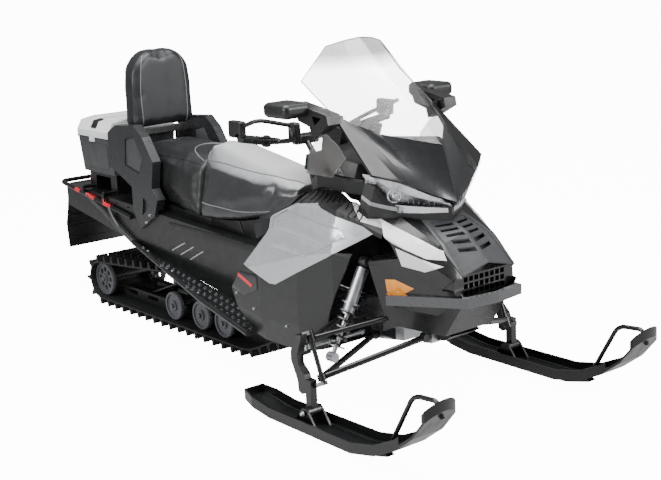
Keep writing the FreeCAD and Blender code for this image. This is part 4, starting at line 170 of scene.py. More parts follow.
# Hood: black ABS with a clear satin coat, so lights show as soft streaks.
hood_paint = finish("black_painted_abs", "0C0D0E", "070808", 0.3, 3.0, 0.03, coat=0.3, spread=0.05)
# Lower body and pillars: near-black ABS as it leaves a smooth mould, with a satin sheen.
belly_plastic = finish("dark_grey_polished_abs", "17181A", "0F1011", 0.38, 3.0, 0.04,
                       coat=0.12, spread=0.06)
pillar_satin = finish("black_polished_abs", "08090A", "050506", 0.4, 4.0, 0.02,
                      coat=0.12, spread=0.03)
# Stripe: white film under clear coat, the brightest thing on the hood.
stripe_paint = finish("white_painted_abs", "F0F0F0", "E4E4E5", 0.24, 3.0, 0.02,
                      coat=0.5, spread=0.04)
stripe_grey = finish("silver_grey_painted_abs", "A0A1A4", "8E8F92", 0.28, 3.0, 0.02,
                     coat=0.4, spread=0.04)
accent_red = finish("red_painted_trim", "D0202C", "B81822", 0.35, 3.0, 0.03, coat=0.3, spread=0.05)
mesh_black = finish("black_moulded_nylon", "0E0F10", "08090A", 0.5, 2.0, 0.1)
# Cowl round the lamps: very dark grey painted ABS with a satin coat.
cowl_paint = finish("dark_grey_painted_abs", "1C1D1F", "141517", 0.3, 3.5, 0.02,
                    coat=0.3, spread=0.04)
# Side panel: silver paint. Its flake is too fine to draw, so the shader is partly metallic instead.
panel_paint = finish("silver_painted_abs", "C3C5C8", "B2B4B8", 0.3, 2.5, 0.02,
                     metallic=0.55, coat=0.6, spread=0.05)
# Deck over the nose: dark grey moulded plastic with a fine grain.
deck_plastic = finish("grey_grained_abs", "3C3D3F", "2E2F31", 0.36, 2.2, 0.05)
# Guards, box and lid: moulded polyethylene, near-black, dark and pale grey.
guard_plastic = finish("grey_moulded_polyethylene", "252628", "1A1B1D", 0.32, 2.8, 0.06, coat=0.2)
box_plastic = finish("grey_rotomoulded_polyethylene", "3E3F41", "303133", 0.4, 3.5, 0.08)
lid_plastic = finish("pale_moulded_polyethylene", "D8D9DA", "C6C7C9", 0.36, 3.0, 0.05)
# Skis: ultra-high-molecular-weight polyethylene with long drag scratches along their length.
ski_plastic = finish("black_slick_polyethylene", "0E0F10", "08090A", 0.32, 3.0, 0.10,
                     stretch=(0.08, 1, 1))
# Wheels: glass-filled nylon, mid grey and matt.
wheel_plastic = finish("grey_glass_filled_nylon", "55565A", "434447", 0.55, 1.8, 0.08)
print("plastics made")

# %% Metals
# Rails: the dyed oxide skin of anodised aluminium shades as a plastic does, with fine drawn lines.
rail_skin = finish("dark_anodised_rail", "161718", "0E0F10", 0.36, 2.0, 0.05, stretch=(0.1, 1, 1))
# Powder-coated steel tube: black with the faint orange peel of baked powder.
powder_black = finish("black_powder_coated_steel", "0F1011", "090A0B", 0.32, 2.4, 0.08, coat=0.2)
tunnel_coat = finish("black_coated_aluminium_sheet", "101112", "0A0B0C", 0.36, 1.6, 0.04, coat=0.2)
bumper_coat = finish("gunmetal_powder_coat", "4A4B4E", "3A3B3D", 0.3, 2.0, 0.05, coat=0.35)
cast_alloy = finish("cast_aluminium", "C4C6C9", "A2A4A8", 0.36, 2.6, 0.2, metallic=1.0)
zinc_steel = finish("zinc_plated_steel", "C9CBCE", "AEB0B3", 0.28, 1.5, 0.05, metallic=1.0)
engine_casting = finish("dark_cast_iron", "2F3033", "232427", 0.6, 3.0, 0.3, metallic=0.6)
print("metals made")

# %% Rubbers
track_rubber = finish("vulcanised_track_rubber", "101112", "090A0B", 0.6, 3.0, 0.25, patch_mm=60)
flap_rubber = finish("moulded_flap_rubber", "0F1011", "090A0B", 0.45, 2.0, 0.1)
grip_rubber = finish("soft_grip_rubber", "1C1D1F", "121315", 0.62, 1.4, 0.15)
print("rubbers made")

# %% [markdown]
# ## Clear and coloured lenses
# The screen is clear polycarbonate a few millimetres thick: it bends little light, shows thin bright
# reflections, and is faintly warm in tone with a smoky band along the top. The lamps are clear
# acrylic over bright reflectors. Transmission with a low roughness gives both, and a shallow waviness
# keeps the reflections from being a perfect mirror.

# %% Clear plastics
# That of acrylic. The polycarbonate sheet is too thin to tell its higher one.
CLEAR_IOR = 1.49
WAVE_MM, WAVE_DEPTH_MM = 90, 0.4


def clear(name, roughness):
    """A see-through moulded plastic, with its shader and place for what is added to it."""
    material, shader, place = blank(name)
    wave = add(material, "ShaderNodeTexNoise", {"Vector": place, "Scale": per_m(WAVE_MM), "Detail": 1})
    bump = add(material, "ShaderNodeBump",
               {"Height": wave.outputs["Fac"], "Distance": WAVE_DEPTH_MM * MM})
    wire(material, bump.outputs[0], shader, "Normal")
    shader.inputs["Roughness"].default_value = roughness
    shader.inputs["IOR"].default_value = CLEAR_IOR
    shader.inputs["Transmission Weight"].default_value = 1.0
    return material, shader, place


def tinted(name, roughness, tint, alpha):
    """One tint all over; alpha keeps it readable where light can't bend through it."""
    material, shader, _ = clear(name, roughness)
    shader.inputs["Base Color"].default_value = linear(tint)
    shader.inputs["Alpha"].default_value = alpha
    return material


frosted_clear = tinted("frosted_polycarbonate", 0.3, "EFE8E0", 0.45)
lamp_clear = tinted("clear_acrylic_lens", 0.02, "F6F8FA", 0.3)
print("clear plastics made")

# %% Screen with a smoky band
# The heights, in metres, where the band along the top begins and where it is full.
BAND_BEGINS, BAND_FULL = 1.30, 1.36
screen_clear, screen_shader, screen_place = clear("clear_polycarbonate", 0.05)
screen_height = add(screen_clear, "ShaderNodeSeparateXYZ", {"Vector": screen_place}).outputs["Z"]
band = add(screen_clear, "ShaderNodeMapRange",
           {"Value": screen_height, "From Min": BAND_BEGINS, "From Max": BAND_FULL})
smoke = add(screen_clear, "ShaderNodeMix",
            {FACTOR: band.outputs[0], COLOUR_A: linear("F6F3EF"), COLOUR_B: linear("B5B0A8")},
            data_type="RGBA")
wire(screen_clear, smoke.outputs[MIXED], screen_shader, "Base Color")
density = add(screen_clear, "ShaderNodeMapRange",
              {"Value": band.outputs[0], "To Min": 0.32, "To Max": 0.75})
wire(screen_clear, density.outputs[0], screen_shader, "Alpha")
print("screen made")

# %% Reflectors, glass and coloured lenses
chrome = finish("vacuum_plated_reflector", "E8E9EB", "D2D4D8", 0.12, 5.0, 0.1,
                metallic=1.0, spread=0.04)
dial_glass = finish("black_display_glass", "0A0C0F", "06080A", 0.08, 5.0, 0.01,
                    coat=0.6, spread=0.02)
mirror_silver = finish("silvered_mirror", "DDE0E4", "D2D5DA", 0.05, 6.0, 0.01,
                       metallic=1.0, spread=0.02)
# The small lenses are shaded as opaque coloured plastic under a clear coat.
amber_lens = finish("amber_acrylic_lens", "F59A10", "E48606", 0.2, 3.0, 0.3, coat=0.6)
red_lens = finish("red_acrylic_lens", "B01018", "8C0A10", 0.2, 3.0, 0.3, coat=0.6)
print("lenses made")

# %% [markdown]
# ## Seat vinyl
# The covers are soft marine vinyl over foam. Its leather print is a mesh of tiny cells with
# rounded tops. A Voronoi pattern gives the cells and its distance to the edge gives the creases.

# %% Vinyl with a leather print
GRAIN_MM, CELL_MM, CREASE_MM, CREASE_STRENGTH = 3.0, 3.2, 0.5, 0.25


def vinyl(name, light, dark, roughness):
    """Soft vinyl with a printed leather grain of about 3 mm, drawn coarse enough to show."""
    material, shader, place, bump, colour = layered(
        name, light, dark, roughness, GRAIN_MM, 0.08, patch_mm=180)
    cells = add(material, "ShaderNodeTexVoronoi", {"Vector": place, "Scale": per_m(CELL_MM)},
                feature="DISTANCE_TO_EDGE")
    creases = add(material, "ShaderNodeBump",
                  {"Height": cells.outputs["Distance"], "Distance": CREASE_MM * MM,
                   "Strength": CREASE_STRENGTH, "Normal": bump.outputs[0]})
    wire(material, creases.outputs[0], shader, "Normal")
    return material, shader, colour


seat_vinyl, seat_shader, seat_colour = vinyl("charcoal_marine_vinyl", "2A2B2D", "212224", 0.34)
# The vinyl is painted paler by its slope, from charcoal where the surface is steep to pale where it is
# flat: a painted highlight for the white sheen that the lights leave on the crest of the satin seat.
SIDE_SLOPE, TOP_SLOPE = 0.45, 1.02
slope = add(seat_vinyl, "ShaderNodeNewGeometry").outputs["Normal"]
upward = add(seat_vinyl, "ShaderNodeSeparateXYZ", {"Vector": slope}).outputs["Z"]
painted_highlight_share = add(seat_vinyl, "ShaderNodeMapRange",
            {"Value": upward, "From Min": SIDE_SLOPE, "From Max": TOP_SLOPE})
# This pale grey is a painted highlight, not a vinyl of its own.
painted_highlight_mix = add(seat_vinyl, "ShaderNodeMix",
               {FACTOR: painted_highlight_share.outputs[0], COLOUR_A: seat_colour, COLOUR_B: linear("AEAFB1")},
               data_type="RGBA")
wire(seat_vinyl, painted_highlight_mix.outputs[MIXED], seat_shader, "Base Color")
seat_shader.inputs["Coat Weight"].default_value = 0.3
dark_vinyl = vinyl("black_marine_vinyl", "18191A", "111213", 0.42)[0]
back_vinyl = vinyl("slate_marine_vinyl", "1E2021", "16181A", 0.38)[0]
piping_vinyl = vinyl("pale_piping_vinyl", "6E6F71", "5E5F61", 0.4)[0]
print("vinyl made")

# %% [markdown]
# ## Finishes on the CAD pieces
# Each CAD piece has a named slot that says what it is made of. Every slot's name is looked up in one
# list, so that none is missed, and a few pieces then get their own finish.

# %% Give each CAD piece its finish
FINISH_OF = {
    "track_rubber": track_rubber, "wheel_grey": wheel_plastic, "rail_dark": rail_skin,
    "frame_black": powder_black, "tunnel_black": tunnel_coat, "alloy": cast_alloy,
    "steel": zinc_steel, "ski_black": ski_plastic, "plastic_black": grained_plastic,
    "panel_silver": panel_paint, "hood_black": hood_paint, "deck_grey": deck_plastic,
    "cowl_grey": cowl_paint, "clear_screen": screen_clear, "lamp_glass": lamp_clear,
    "amber_glass": amber_lens, "red_glass": red_lens, "gunmetal": bumper_coat,
    "engine_grey": engine_casting, "vinyl": seat_vinyl, "guard_grey": guard_plastic,
    "box_grey": box_plastic, "lid_light": lid_plastic, "flap_rubber": flap_rubber,
    "grip_rubber": grip_rubber,
}
for node in nodes.values():
    for slot in node.material_slots:
        slot.material = FINISH_OF[slot.material.name.split(".")[0]]
# Some pieces share a slot in the record but have a finish of their own.
OWN_FINISH = {
    "belly_pan": belly_plastic, "lower_nose": hood_paint, "lamp_housing": hood_paint,
    "side_vents": mesh_black, "side_deflectors": frosted_clear, "dash": grained_plastic,
    "panel_brackets": belly_plastic, "rear_shock": zinc_steel, "headlights": chrome,
}
for name, material in OWN_FINISH.items():
    nodes[name].material_slots[0].material = material
print(len(nodes), "CAD pieces finished")

# %% [markdown]
# ## Selecting, shaping and finishing pieces
# An operator acts on everything that is selected, so a new piece starts with nothing selected. A
# modifier is added and applied in one step, so none is left live. At the end the piece's place goes
# into its mesh, and it rides on its body. Its faces point outwards already, as those of the CAD
# surface or the primitive that it starts from do.

# %% Start, shape and end of a piece
JOIN_MM = 0.02


def link(thing):
    """Puts a made object into the scene."""
    bpy.context.scene.collection.objects.link(thing)


def alone(thing):
    """Selects one object and makes it active."""
    bpy.ops.object.select_all(action="DESELECT")
    thing.select_set(True)
    bpy.context.view_layer.objects.active = thing


def fresh(operator, **settings):
    """Adds a primitive while nothing else is selected."""
    bpy.ops.object.select_all(action="DESELECT")
    operator(**settings)
    return bpy.context.object


def shape(thing, kind, **settings):
    """Adds one modifier with its settings and applies it."""
    modifier = thing.modifiers.new(kind.lower(), kind)
    for name, value in settings.items():
        setattr(modifier, name, value)
    alone(thing)
    bpy.ops.object.modifier_apply(modifier=modifier.name)


def merged_copy(node, name, leave="DESELECT"):
    """A copy of a CAD piece whose loose triangles are joined; the CAD piece is left alone."""
    thing = bpy.data.objects.new(name, nodes[node].data.copy())
    link(thing)
    alone(thing)
    bpy.ops.object.mode_set(mode="EDIT")
    bpy.ops.mesh.select_all(action="SELECT")
    bpy.ops.mesh.remove_doubles(threshold=JOIN_MM * MM)
    bpy.ops.mesh.select_all(action=leave)
    bpy.ops.object.mode_set(mode="OBJECT")
    return thing


def settle(thing, name, body, material, angle=None):
    """Names a finished piece, puts its place in its mesh, and gives it a finish and a body."""
    alone(thing)
    bpy.ops.object.transform_apply(location=True, rotation=True, scale=True)
    thing.name = name
    thing.data.name = name
    thing.data.materials.clear()
    thing.data.materials.append(material)
    if angle is not None:
        bpy.ops.object.shade_smooth_by_angle(angle=math.radians(angle))
    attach(thing, body)
    return thing


# %% [markdown]
# ## Seats and backrest
# Each cushion is foam under tight vinyl: its faces bulge between the seams. The CAD solid gives the
# foam's size. A copy is remeshed to an even net, drawn in a little, and inflated for a moment as a
# cloth with air pressure inside, which rounds it as a real cover is rounded. How far a point may
# move is capped, so the cushion stays where the frame holds it.

# %% Inflate a cover over its foam
DRAW_IN_MM = 5
AIR_PRESSURE, AIR_STEPS = 4.0, 20


def cover(foam, name, voxel_mm, cap_mm):
    """A padded cover from a CAD solid, inflated by a short cloth run."""
    pad = merged_copy(foam, name)
    shape(pad, "REMESH", mode="VOXEL", voxel_size=voxel_mm * MM)
    shape(pad, "SMOOTH", factor=0.6, iterations=6)
    shape(pad, "DISPLACE", strength=-DRAW_IN_MM * MM, mid_level=0)
    before = np.array([v.co for v in pad.data.vertices])
    cloth = pad.modifiers.new("air", "CLOTH")
    cloth.settings.use_pressure = True
    cloth.settings.uniform_pressure_force = AIR_PRESSURE
    cloth.settings.effector_weights.gravity = 0
    cloth.settings.quality = 5
    cloth.point_cache.frame_end = AIR_STEPS
    for moment in range(1, AIR_STEPS + 1):
        bpy.context.scene.frame_set(moment)
    alone(pad)
    bpy.ops.object.modifier_apply(modifier="air")
    bpy.context.scene.frame_set(1)
    step = np.array([v.co for v in pad.data.vertices]) - before
    far = np.linalg.norm(step, axis=1)
    # The tiny number keeps a point that hasn't moved from a division by nothing.
    kept_part = np.minimum(1, cap_mm * MM / np.maximum(far, 1e-9))
    capped = before + step * kept_part[:, None]
    pad.data.vertices.foreach_set("co", capped.astype(np.float32).ravel())
    pad.data.update()
    # A foam seat pulls its cover tight, so the run's small creases are evened out.
    shape(pad, "SMOOTH", factor=0.5, iterations=16)
    bpy.ops.object.shade_smooth()
    print(name, len(pad.data.vertices), "points, moved up to", round(far.max() * 1000, 1),
          "mm before the cap")
    return pad


# %% The three cushions
# The back pad narrows towards its rounded top, above this height, in metres.
NARROW_FROM, NARROW_OVER, NARROW_BY = 1.120, 0.205, 0.26


def narrow_top(pad):
    """Draws a pad's upper part in towards its middle, ever more towards the top."""
    for vertex in pad.data.vertices:
        above = min(1.0, max(0.0, (vertex.co.z - NARROW_FROM) / NARROW_OVER))
        vertex.co.y *= 1 - NARROW_BY * above ** 2


cushions = {}
for foam, name, voxel_mm, cap_mm, skin in (
        ("rider_seat", "rider_cushion", 8, 8, seat_vinyl),
        ("passenger_seat", "passenger_cushion", 8, 8, dark_vinyl),
        ("backrest", "back_cushion", 6, 9, back_vinyl)):
    cushion = cover(foam, name, voxel_mm, cap_mm)
    if foam == "backrest":
        narrow_top(cushion)
    settle(cushion, name, "chassis", skin)
    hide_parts(foam)
    cushions[name] = cushion

# %% [markdown]
# ## Panels laid on the body
# Stripes, trim panels and pads on a moulded body follow its surface. Each could be drawn by hand and
# pushed onto the body, but it fits exactly if it starts as a piece of the body itself: a copy of the
# CAD surface is cut along straight lines seen from one side, and the piece that is left gets a
# thickness of its own. Its edge then catches the light as a real panel's edge does.

# %% Cut a panel out of a surface
# Faces are picked from here on. A view names the two axes of its outlines.
bpy.context.tool_settings.mesh_select_mode = (False, False, True)
VIEWS = {"side": (0, 2), "plan": (0, 1), "front": (1, 2)}
ROUND_FROM = math.radians(50)


def panel(node, name, view, outline, facing, thick_mm, slack=0.35, lift_mm=0.2, bevel_mm=0.6):
    """A thin panel on a CAD surface, inside a convex outline in mm in the named view."""
    thing = merged_copy(node, name)
    ahead = Vector(facing).normalized()
    for face in thing.data.polygons:
        face.select = face.normal.dot(ahead) < slack
    bpy.ops.object.mode_set(mode="EDIT")
    bpy.ops.mesh.delete(type="FACE")
    first, second = VIEWS[view]
    middle = [sum(p[i] for p in outline) / len(outline) for i in (0, 1)]
    for a, b in zip(outline, outline[1:] + outline[:1]):
        inward = (a[1] - b[1], b[0] - a[0])
        if inward[0] * (middle[0] - a[0]) + inward[1] * (middle[1] - a[1]) < 0:
            inward = (-inward[0], -inward[1])
        corner, normal = [0, 0, 0], [0, 0, 0]
        corner[first], corner[second] = a[0] * MM, a[1] * MM
        normal[first], normal[second] = inward
        bpy.ops.mesh.select_all(action="SELECT")
        bpy.ops.mesh.bisect(plane_co=corner, plane_no=Vector(normal).normalized(), clear_inner=True)
    bpy.ops.object.mode_set(mode="OBJECT")
    shape(thing, "DISPLACE", strength=lift_mm * MM, mid_level=0)
    shape(thing, "SOLIDIFY", thickness=thick_mm * MM, offset=1)
    if bevel_mm:
        shape(thing, "BEVEL", width=bevel_mm * MM, segments=2, limit_method="ANGLE",
              angle_limit=ROUND_FROM)
    return thing


print("views for outlines:", sorted(VIEWS))

# %% The same on both sides
# 1 keeps a place as given, and -1 turns it over to the other side.
SIDES = (1, -1)
SIDEWAYS = (0, -1, 0)


def on_side(place, side):
    """A place or direction as given, or turned over to the machine's other side."""
    return place[0], place[1] * side, place[2]


def joined(things):
    """Joins several made objects into the first."""
    alone(things[0])
    for thing in things[1:]:
        thing.select_set(True)
    if len(things) > 1:
        bpy.ops.object.join()
    return things[0]


def panel_pair(node, name, view, outline, facing, thick_mm, slot, material,
               body="chassis", **more):
    """The same panel on the right and on the left of the machine, as one piece."""
    halves = []
    for side in SIDES:
        flip = [side if axis == 1 else 1 for axis in VIEWS[view]]
        seen = [(a * flip[0], b * flip[1]) for a, b in outline]
        halves.append(panel(node, name, view, seen, on_side(facing, side), thick_mm, **more))
    piece = joined(halves)
    print(name, len(piece.data.polygons), "faces")
    return settle(piece, name, body, material, angle=35)


print("pairs ready")

# %% [markdown]
# ## Stripes and deck of the hood
# A broad white stripe runs down each shoulder of the hood to the nose and splits at its end, and a
# short silver one lies over it on the lamp tray. The dark grey deck between them frames the grille.
# An outline seen from the side doesn't tell left from right; the way that a face looks does. The
# vents' tops look almost straight up, so each half of the rear stripe takes in both sides: its skin
# is there twice, in the same place.

# %% Hood trim
SHOULDER = (0.2, -0.7, 0.6)
panel_pair("hood", "shoulder_stripe", "side",
           [(870, 803), (1201, 676), (1224, 645), (1160, 650), (1032, 697), (900, 770)],
           SHOULDER, 1.6, None, stripe_paint)
panel_pair("hood", "shoulder_stripe_tip", "side",
           [(1042, 680), (1222, 625), (1156, 600), (1060, 612)],
           (0.2, -1, 0), 1.6, None, stripe_paint)
panel_pair("side_vents", "shoulder_stripe_rear", "side",
           [(805, 832), (985, 795), (985, 742), (897, 765)],
           (0.3, -0.5, 0.8), 1.6, None, stripe_paint)
panel_pair("lamp_housing", "tray_stripe", "side",
           [(885, 872), (893, 850), (1012, 797), (1003, 818)],
           (0.6, -0.8, 0), 1.2, None, stripe_grey, slack=0.2)
panel_pair("hood", "deck_frame", "plan",
           [(985, 0), (985, -95), (1215, -140), (1292, -134), (1292, 0)],
           (0.5, 0, 0.8), 2.2, "deck_grey", deck_plastic, slack=0.6)

# %% [markdown]
# ## Side panels, belly and cowl
# The silver panel ends at the rear in a dark tip with a red flash, and a satin black pillar runs
# up each edge of the cowl to carry the screen.

# %% Body trim
panel_pair("belly_pan", "rear_tip", "side",
           [(130, 520), (130, 395), (230, 372), (330, 415), (330, 470), (200, 520)],
           SIDEWAYS, 2.0, None, guard_plastic, slack=0.6)
panel_pair("belly_pan", "rear_flash", "side", [(150, 478), (150, 462), (285, 418), (298, 430)],
           SIDEWAYS, 1.0, None, accent_red, slack=0.6, lift_mm=2.1, bevel_mm=0)
panel_pair("screen_cowl", "cowl_pillar", "front",
           [(-330, 800), (-330, 1200), (-225, 1200), (-168, 940), (-175, 900)],
           (0.6, -0.3, 0.5), 2.5, None, pillar_satin, slack=0.3)

# %% [markdown]
# ## Round lines on a surface
# Piping on a seat, a rubber edge and a moulded rib are all a thin round line that follows a surface.
# One could draw a tube by eye, but it would sink in or hang off. Here a few points are joined by a
# smooth curve, the curve is drawn onto the surface, and only then does it get its thickness.

# %% A round line on a surface
# How far a line's middle stands off the surface, as a share of its radius.
STAND_OFF = 0.2


def line(name, places, radius_mm, on=None, smooth=True, closed=False):
    """A round line through places in mm; with on, it is laid on that object's surface."""
    curve = bpy.data.curves.new(name, "CURVE")
    curve.dimensions = "3D"
    spline = curve.splines.new("NURBS" if smooth else "POLY")
    spline.points.add(len(places) - 1)
    for point, place in zip(spline.points, places):
        point.co = (place[0] * MM, place[1] * MM, place[2] * MM, 1)
    spline.use_cyclic_u = closed
    if smooth:
        spline.order_u = 3
        spline.use_endpoint_u = not closed
    curve.resolution_u = 10
    thing = bpy.data.objects.new(name, curve)
    link(thing)
    alone(thing)
    if on is not None:
        bpy.ops.object.convert(target="MESH")
        shape(thing, "SHRINKWRAP", target=on, wrap_mode="ABOVE_SURFACE",
              offset=radius_mm * STAND_OFF * MM)
        bpy.ops.object.convert(target="CURVE")
    thing.data.bevel_depth = radius_mm * MM
    thing.data.bevel_resolution = 2
    thing.data.use_fill_caps = True
    bpy.ops.object.convert(target="MESH")
    return thing


def lines(name, runs, radius_mm, slot, material, body="chassis", both=True, **more):
    """Several lines as one piece, each also on the machine's other side when both is true."""
    made = [line(name, [on_side(place, side) for place in places], radius_mm, **more)
            for places in runs for side in (SIDES if both else SIDES[:1])]
    print(name, len(runs), "runs")
    return settle(joined(made), name, body, material, angle=60)


print("round lines ready")

# %% [markdown]
# ## Seams
# Piping closes each cover along its edges, and the back pad has a rim. They are laid on the finished
# cushions, because the even net would have swallowed anything so narrow.

# %% Seams of the seats and the backrest
lines("rider_piping", [
    [(-330, -142, 858), (-180, -138, 858), (-60, -134, 845), (80, -118, 835), (190, -92, 822),
     (280, -50, 806)],
    [(-325, -192, 668), (-150, -190, 662), (0, -178, 660), (130, -160, 676), (230, -135, 690),
     (286, -100, 700)],
], 2.6, None, piping_vinyl, on=cushions["rider_cushion"])
lines("rider_cross_seam",
      [[(-328, y, 930 - abs(y) * 0.45) for y in (-135, -90, -45, 0, 45, 90, 135)]],
      2.8, None, piping_vinyl, both=False, on=cushions["rider_cushion"])
lines("bolster_piping",
      [[(-352, -140, 862), (-440, -118, 874), (-510, -70, 884), (-535, 0, 890),
        (-510, 70, 884), (-440, 118, 874), (-352, 140, 862)]],
      3.0, None, piping_vinyl, both=False, on=cushions["passenger_cushion"])
lines("passenger_seam", [[(-820, -150, 835), (-700, -148, 840), (-560, -150, 838), (-360, -150, 838)],
                         [(-820, -180, 660), (-600, -178, 650), (-360, -184, 655)]],
      2.0, None, dark_vinyl, on=cushions["passenger_cushion"])
lines("back_seams", [[(-855, -122, 940), (-855, -130, 1050), (-855, -128, 1180), (-855, -108, 1315)]],
      2.2, None, piping_vinyl, on=cushions["back_cushion"])
lines("back_rim",
      [[(-862, y, z) for y, z in (
          (-172, 955), (-174, 1100), (-170, 1210), (-120, 1300), (-60, 1322), (0, 1324),
          (60, 1322), (120, 1300), (170, 1210), (174, 1100), (172, 955))]],
      2.4, None, back_vinyl, both=False, on=cushions["back_cushion"])

# %% [markdown]
# ## Screen edge
# The clear sheet has a rounded edge that looks dark, because light runs along the sheet and leaves
# elsewhere. A thin dark bead round it gives the same line.

# %% Bead round the screen
lines("screen_bead", [[(746, -251, 1146), (650, -255, 1208), (556, -256, 1269), (572, -141, 1393),
                       (600, -70, 1410), (608, 0, 1417)]],
      1.8, None, pillar_satin, smooth=False)

# %% [markdown]
# ## Headlamps
# Behind each clear lens lies a bright plated reflector with a round bowl, its bulb, and a row of
# upright steps. The CAD wedge is the outer shape of the lens, so a copy of it, pushed back, makes the
# reflector, and the lens is a thin skin on the wedge's front. Where the wedge looks straight ahead
# both halves take it in, so the skin is double there.

# %% Reflector and lens
LENS_AHEAD, LENS_SLACK, LENS_DEPTH_MM = (0.75, -0.65, -0.2), 0.45, 16
# All of it is still selected at the first move, which so takes both lamps back along the right
# lamp's direction. Only the second move, the left lamp's, takes a front alone.
reflector = merged_copy("headlights", "lamp_reflector", leave="SELECT")
for side in SIDES:
    ahead = Vector(on_side(LENS_AHEAD, side)).normalized()
    for face in reflector.data.polygons:
        face.select = face.normal.dot(ahead) > LENS_SLACK and face.center.y * side < 0
    bpy.ops.object.mode_set(mode="EDIT")
    bpy.ops.transform.translate(value=-ahead * LENS_DEPTH_MM * MM)
    bpy.ops.mesh.select_all(action="DESELECT")
    bpy.ops.object.mode_set(mode="OBJECT")
settle(reflector, "lamp_reflector", "chassis", chrome, angle=20)
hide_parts("headlights")
panel_pair("headlights", "lamp_lens", "side", [(900, 700), (900, 1000), (1140, 1000), (1140, 700)],
           LENS_AHEAD, 1.5, "lamp_glass", lamp_clear, slack=LENS_SLACK, lift_mm=-3, bevel_mm=0)


# %% Copies of a finished model
def copies(model, seats):
    """Copies of a model, each with its own mesh, at each place and turned along its direction."""
    alone(model)
    bpy.ops.object.transform_apply(location=True, rotation=True, scale=True)
    made = [model]
    for _ in seats[1:]:
        one = model.copy()
        one.data = model.data.copy()
        link(one)
        made.append(one)
    for one, (place, out) in zip(made, seats):
        one.location = place
        one.rotation_euler = out.to_track_quat("Z", "Y").to_euler()
    bpy.context.view_layer.update()
    return made


def between(first, last, share):
    """The place a given share of the way from first to last."""
    return tuple(a + (b - a) * share for a, b in zip(first, last))


print("copies ready")

# %% Bowls, steps and flutes
LAMP_AHEAD, LAMP_MIDDLE = (0.72, -0.66, -0.2), (1.006, -0.197, 0.866)
BOWL, BOWL_RIM, BULB, BULB_BACK = 0.024, 0.0035, 0.012, 0.004
aheads = [Vector(on_side(LAMP_AHEAD, side)).normalized() for side in SIDES]
bowl = fresh(bpy.ops.mesh.primitive_torus_add, major_radius=BOWL, minor_radius=BOWL_RIM,
             major_segments=40, minor_segments=8)
bulb = fresh(bpy.ops.mesh.primitive_uv_sphere_add, location=(0, 0, -BULB_BACK), radius=BULB,
             segments=24, ring_count=12)
bowls = copies(joined([bowl, bulb]),
               [(Vector(on_side(LAMP_MIDDLE, side)), ahead) for side, ahead in zip(SIDES, aheads)])

STEPS, STEP_BACK, STEP_EDGE = 6, 0.009, 0.001
STEP_FIRST, STEP_LAST = (1.030, -0.150, 0.850), (1.080, -0.065, 0.832)
STEP_SIZE_FIRST, STEP_SIZE_LAST = (0.004, 0.040, 0.012), (0.004, 0.028, 0.012)
steps = []
for number in range(STEPS):
    share = number / (STEPS - 1)
    bar = fresh(bpy.ops.mesh.primitive_cube_add, size=1,
                scale=between(STEP_SIZE_FIRST, STEP_SIZE_LAST, share))
    shape(bar, "BEVEL", width=STEP_EDGE, segments=2)
    place = between(STEP_FIRST, STEP_LAST, share)
    steps += copies(bar, [(Vector(on_side(place, side)) - ahead * STEP_BACK, ahead)
                          for side, ahead in zip(SIDES, aheads)])
# The lamp's fluted wall reaches down over its dark bezel.
panel_pair("lamp_housing", "lamp_lower_reflector", "front",
           [(-190, 836), (-16, 806), (-14, 786), (-174, 797)],
           (0.8, -0.57, -0.15), 1.2, None, chrome, slack=0.3, bevel_mm=0)
FLUTES = 9
FLUTE_TOPS, FLUTE_FEET = ((1008, -172, 823), (1092, -27, 804)), ((1008, -172, 799), (1092, -27, 790))
lines("lamp_flutes", [[between(*FLUTE_TOPS, number / (FLUTES - 1)),
                       between(*FLUTE_FEET, number / (FLUTES - 1))] for number in range(FLUTES)],
      2.0, None, chrome, smooth=False, on=nodes["lamp_housing"])
settle(joined(bowls), "lamp_bowls", "chassis", chrome, angle=40)
settle(joined(steps), "lamp_steps", "chassis", stripe_grey, angle=40)

# %% [markdown]
# ## Ribs of the side vents
# Cooling air leaves through a strip of slanted louvres on each side. Seen from the front they read as
# a row of wavy ribs, so each is a round line laid across the vent.

# %% Louvres
LOUVRES, VENT_REAR, VENT_LONG, VENT_TOP, VENT_DROP = 13, 560, 330, 846, 40


def louvre(share):
    """One rib, at a share of the way from the rear of the vent to its front."""
    x, top = VENT_REAR + VENT_LONG * share, VENT_TOP - VENT_DROP * share ** 2
    return [(x, -238 - 18 * share, top), (x + 14, -262 - 12 * share, top - 12),
            (x + 6, -288, top - 30), (x + 22, -308 + 6 * share, top - 44)]


lines("vent_louvres", [louvre(number / (LOUVRES - 1)) for number in range(LOUVRES)],
      3.4, None, grained_plastic, on=nodes["side_vents"])

# %% [markdown]
# ## Duct behind the nose vents
# Behind the open slots of the nose lies the black wall of the air duct, so no daylight shows through.
# A sheet lies 30 mm under the deck and follows it, with its rim raised almost to it.

# %% Duct wall
DECK_X, DECK_Z = (1.020, 1.137, 1.205, 1.262), (0.765, 0.721, 0.673, 0.621)
DUCT_REAR, DUCT_LONG, DUCT_WIDE = 1.040, 0.200, 0.256
DUCT_SUNK, RIM_SUNK, RIM_FROM = 0.030, 0.006, 0.49
duct = fresh(bpy.ops.mesh.primitive_grid_add, x_subdivisions=12, y_subdivisions=6, size=1)
for vertex in duct.data.vertices:
    x = DUCT_REAR + (vertex.co.x + 0.5) * DUCT_LONG
    sunk = RIM_SUNK if abs(vertex.co.y) > RIM_FROM else DUCT_SUNK
    vertex.co = (x, vertex.co.y * DUCT_WIDE, np.interp(x, DECK_X, DECK_Z) - sunk)
shape(duct, "SOLIDIFY", thickness=0.002)
settle(duct, "vent_duct", "chassis", mesh_black, angle=40)
print("duct wall laid")

# %% [markdown]
# ## Side lens and side field
# A small amber lens sits on each side of the lower nose, and the silver panel has a raised field
# whose edge catches the light. Both are cut from the surface below them, as the stripes are.

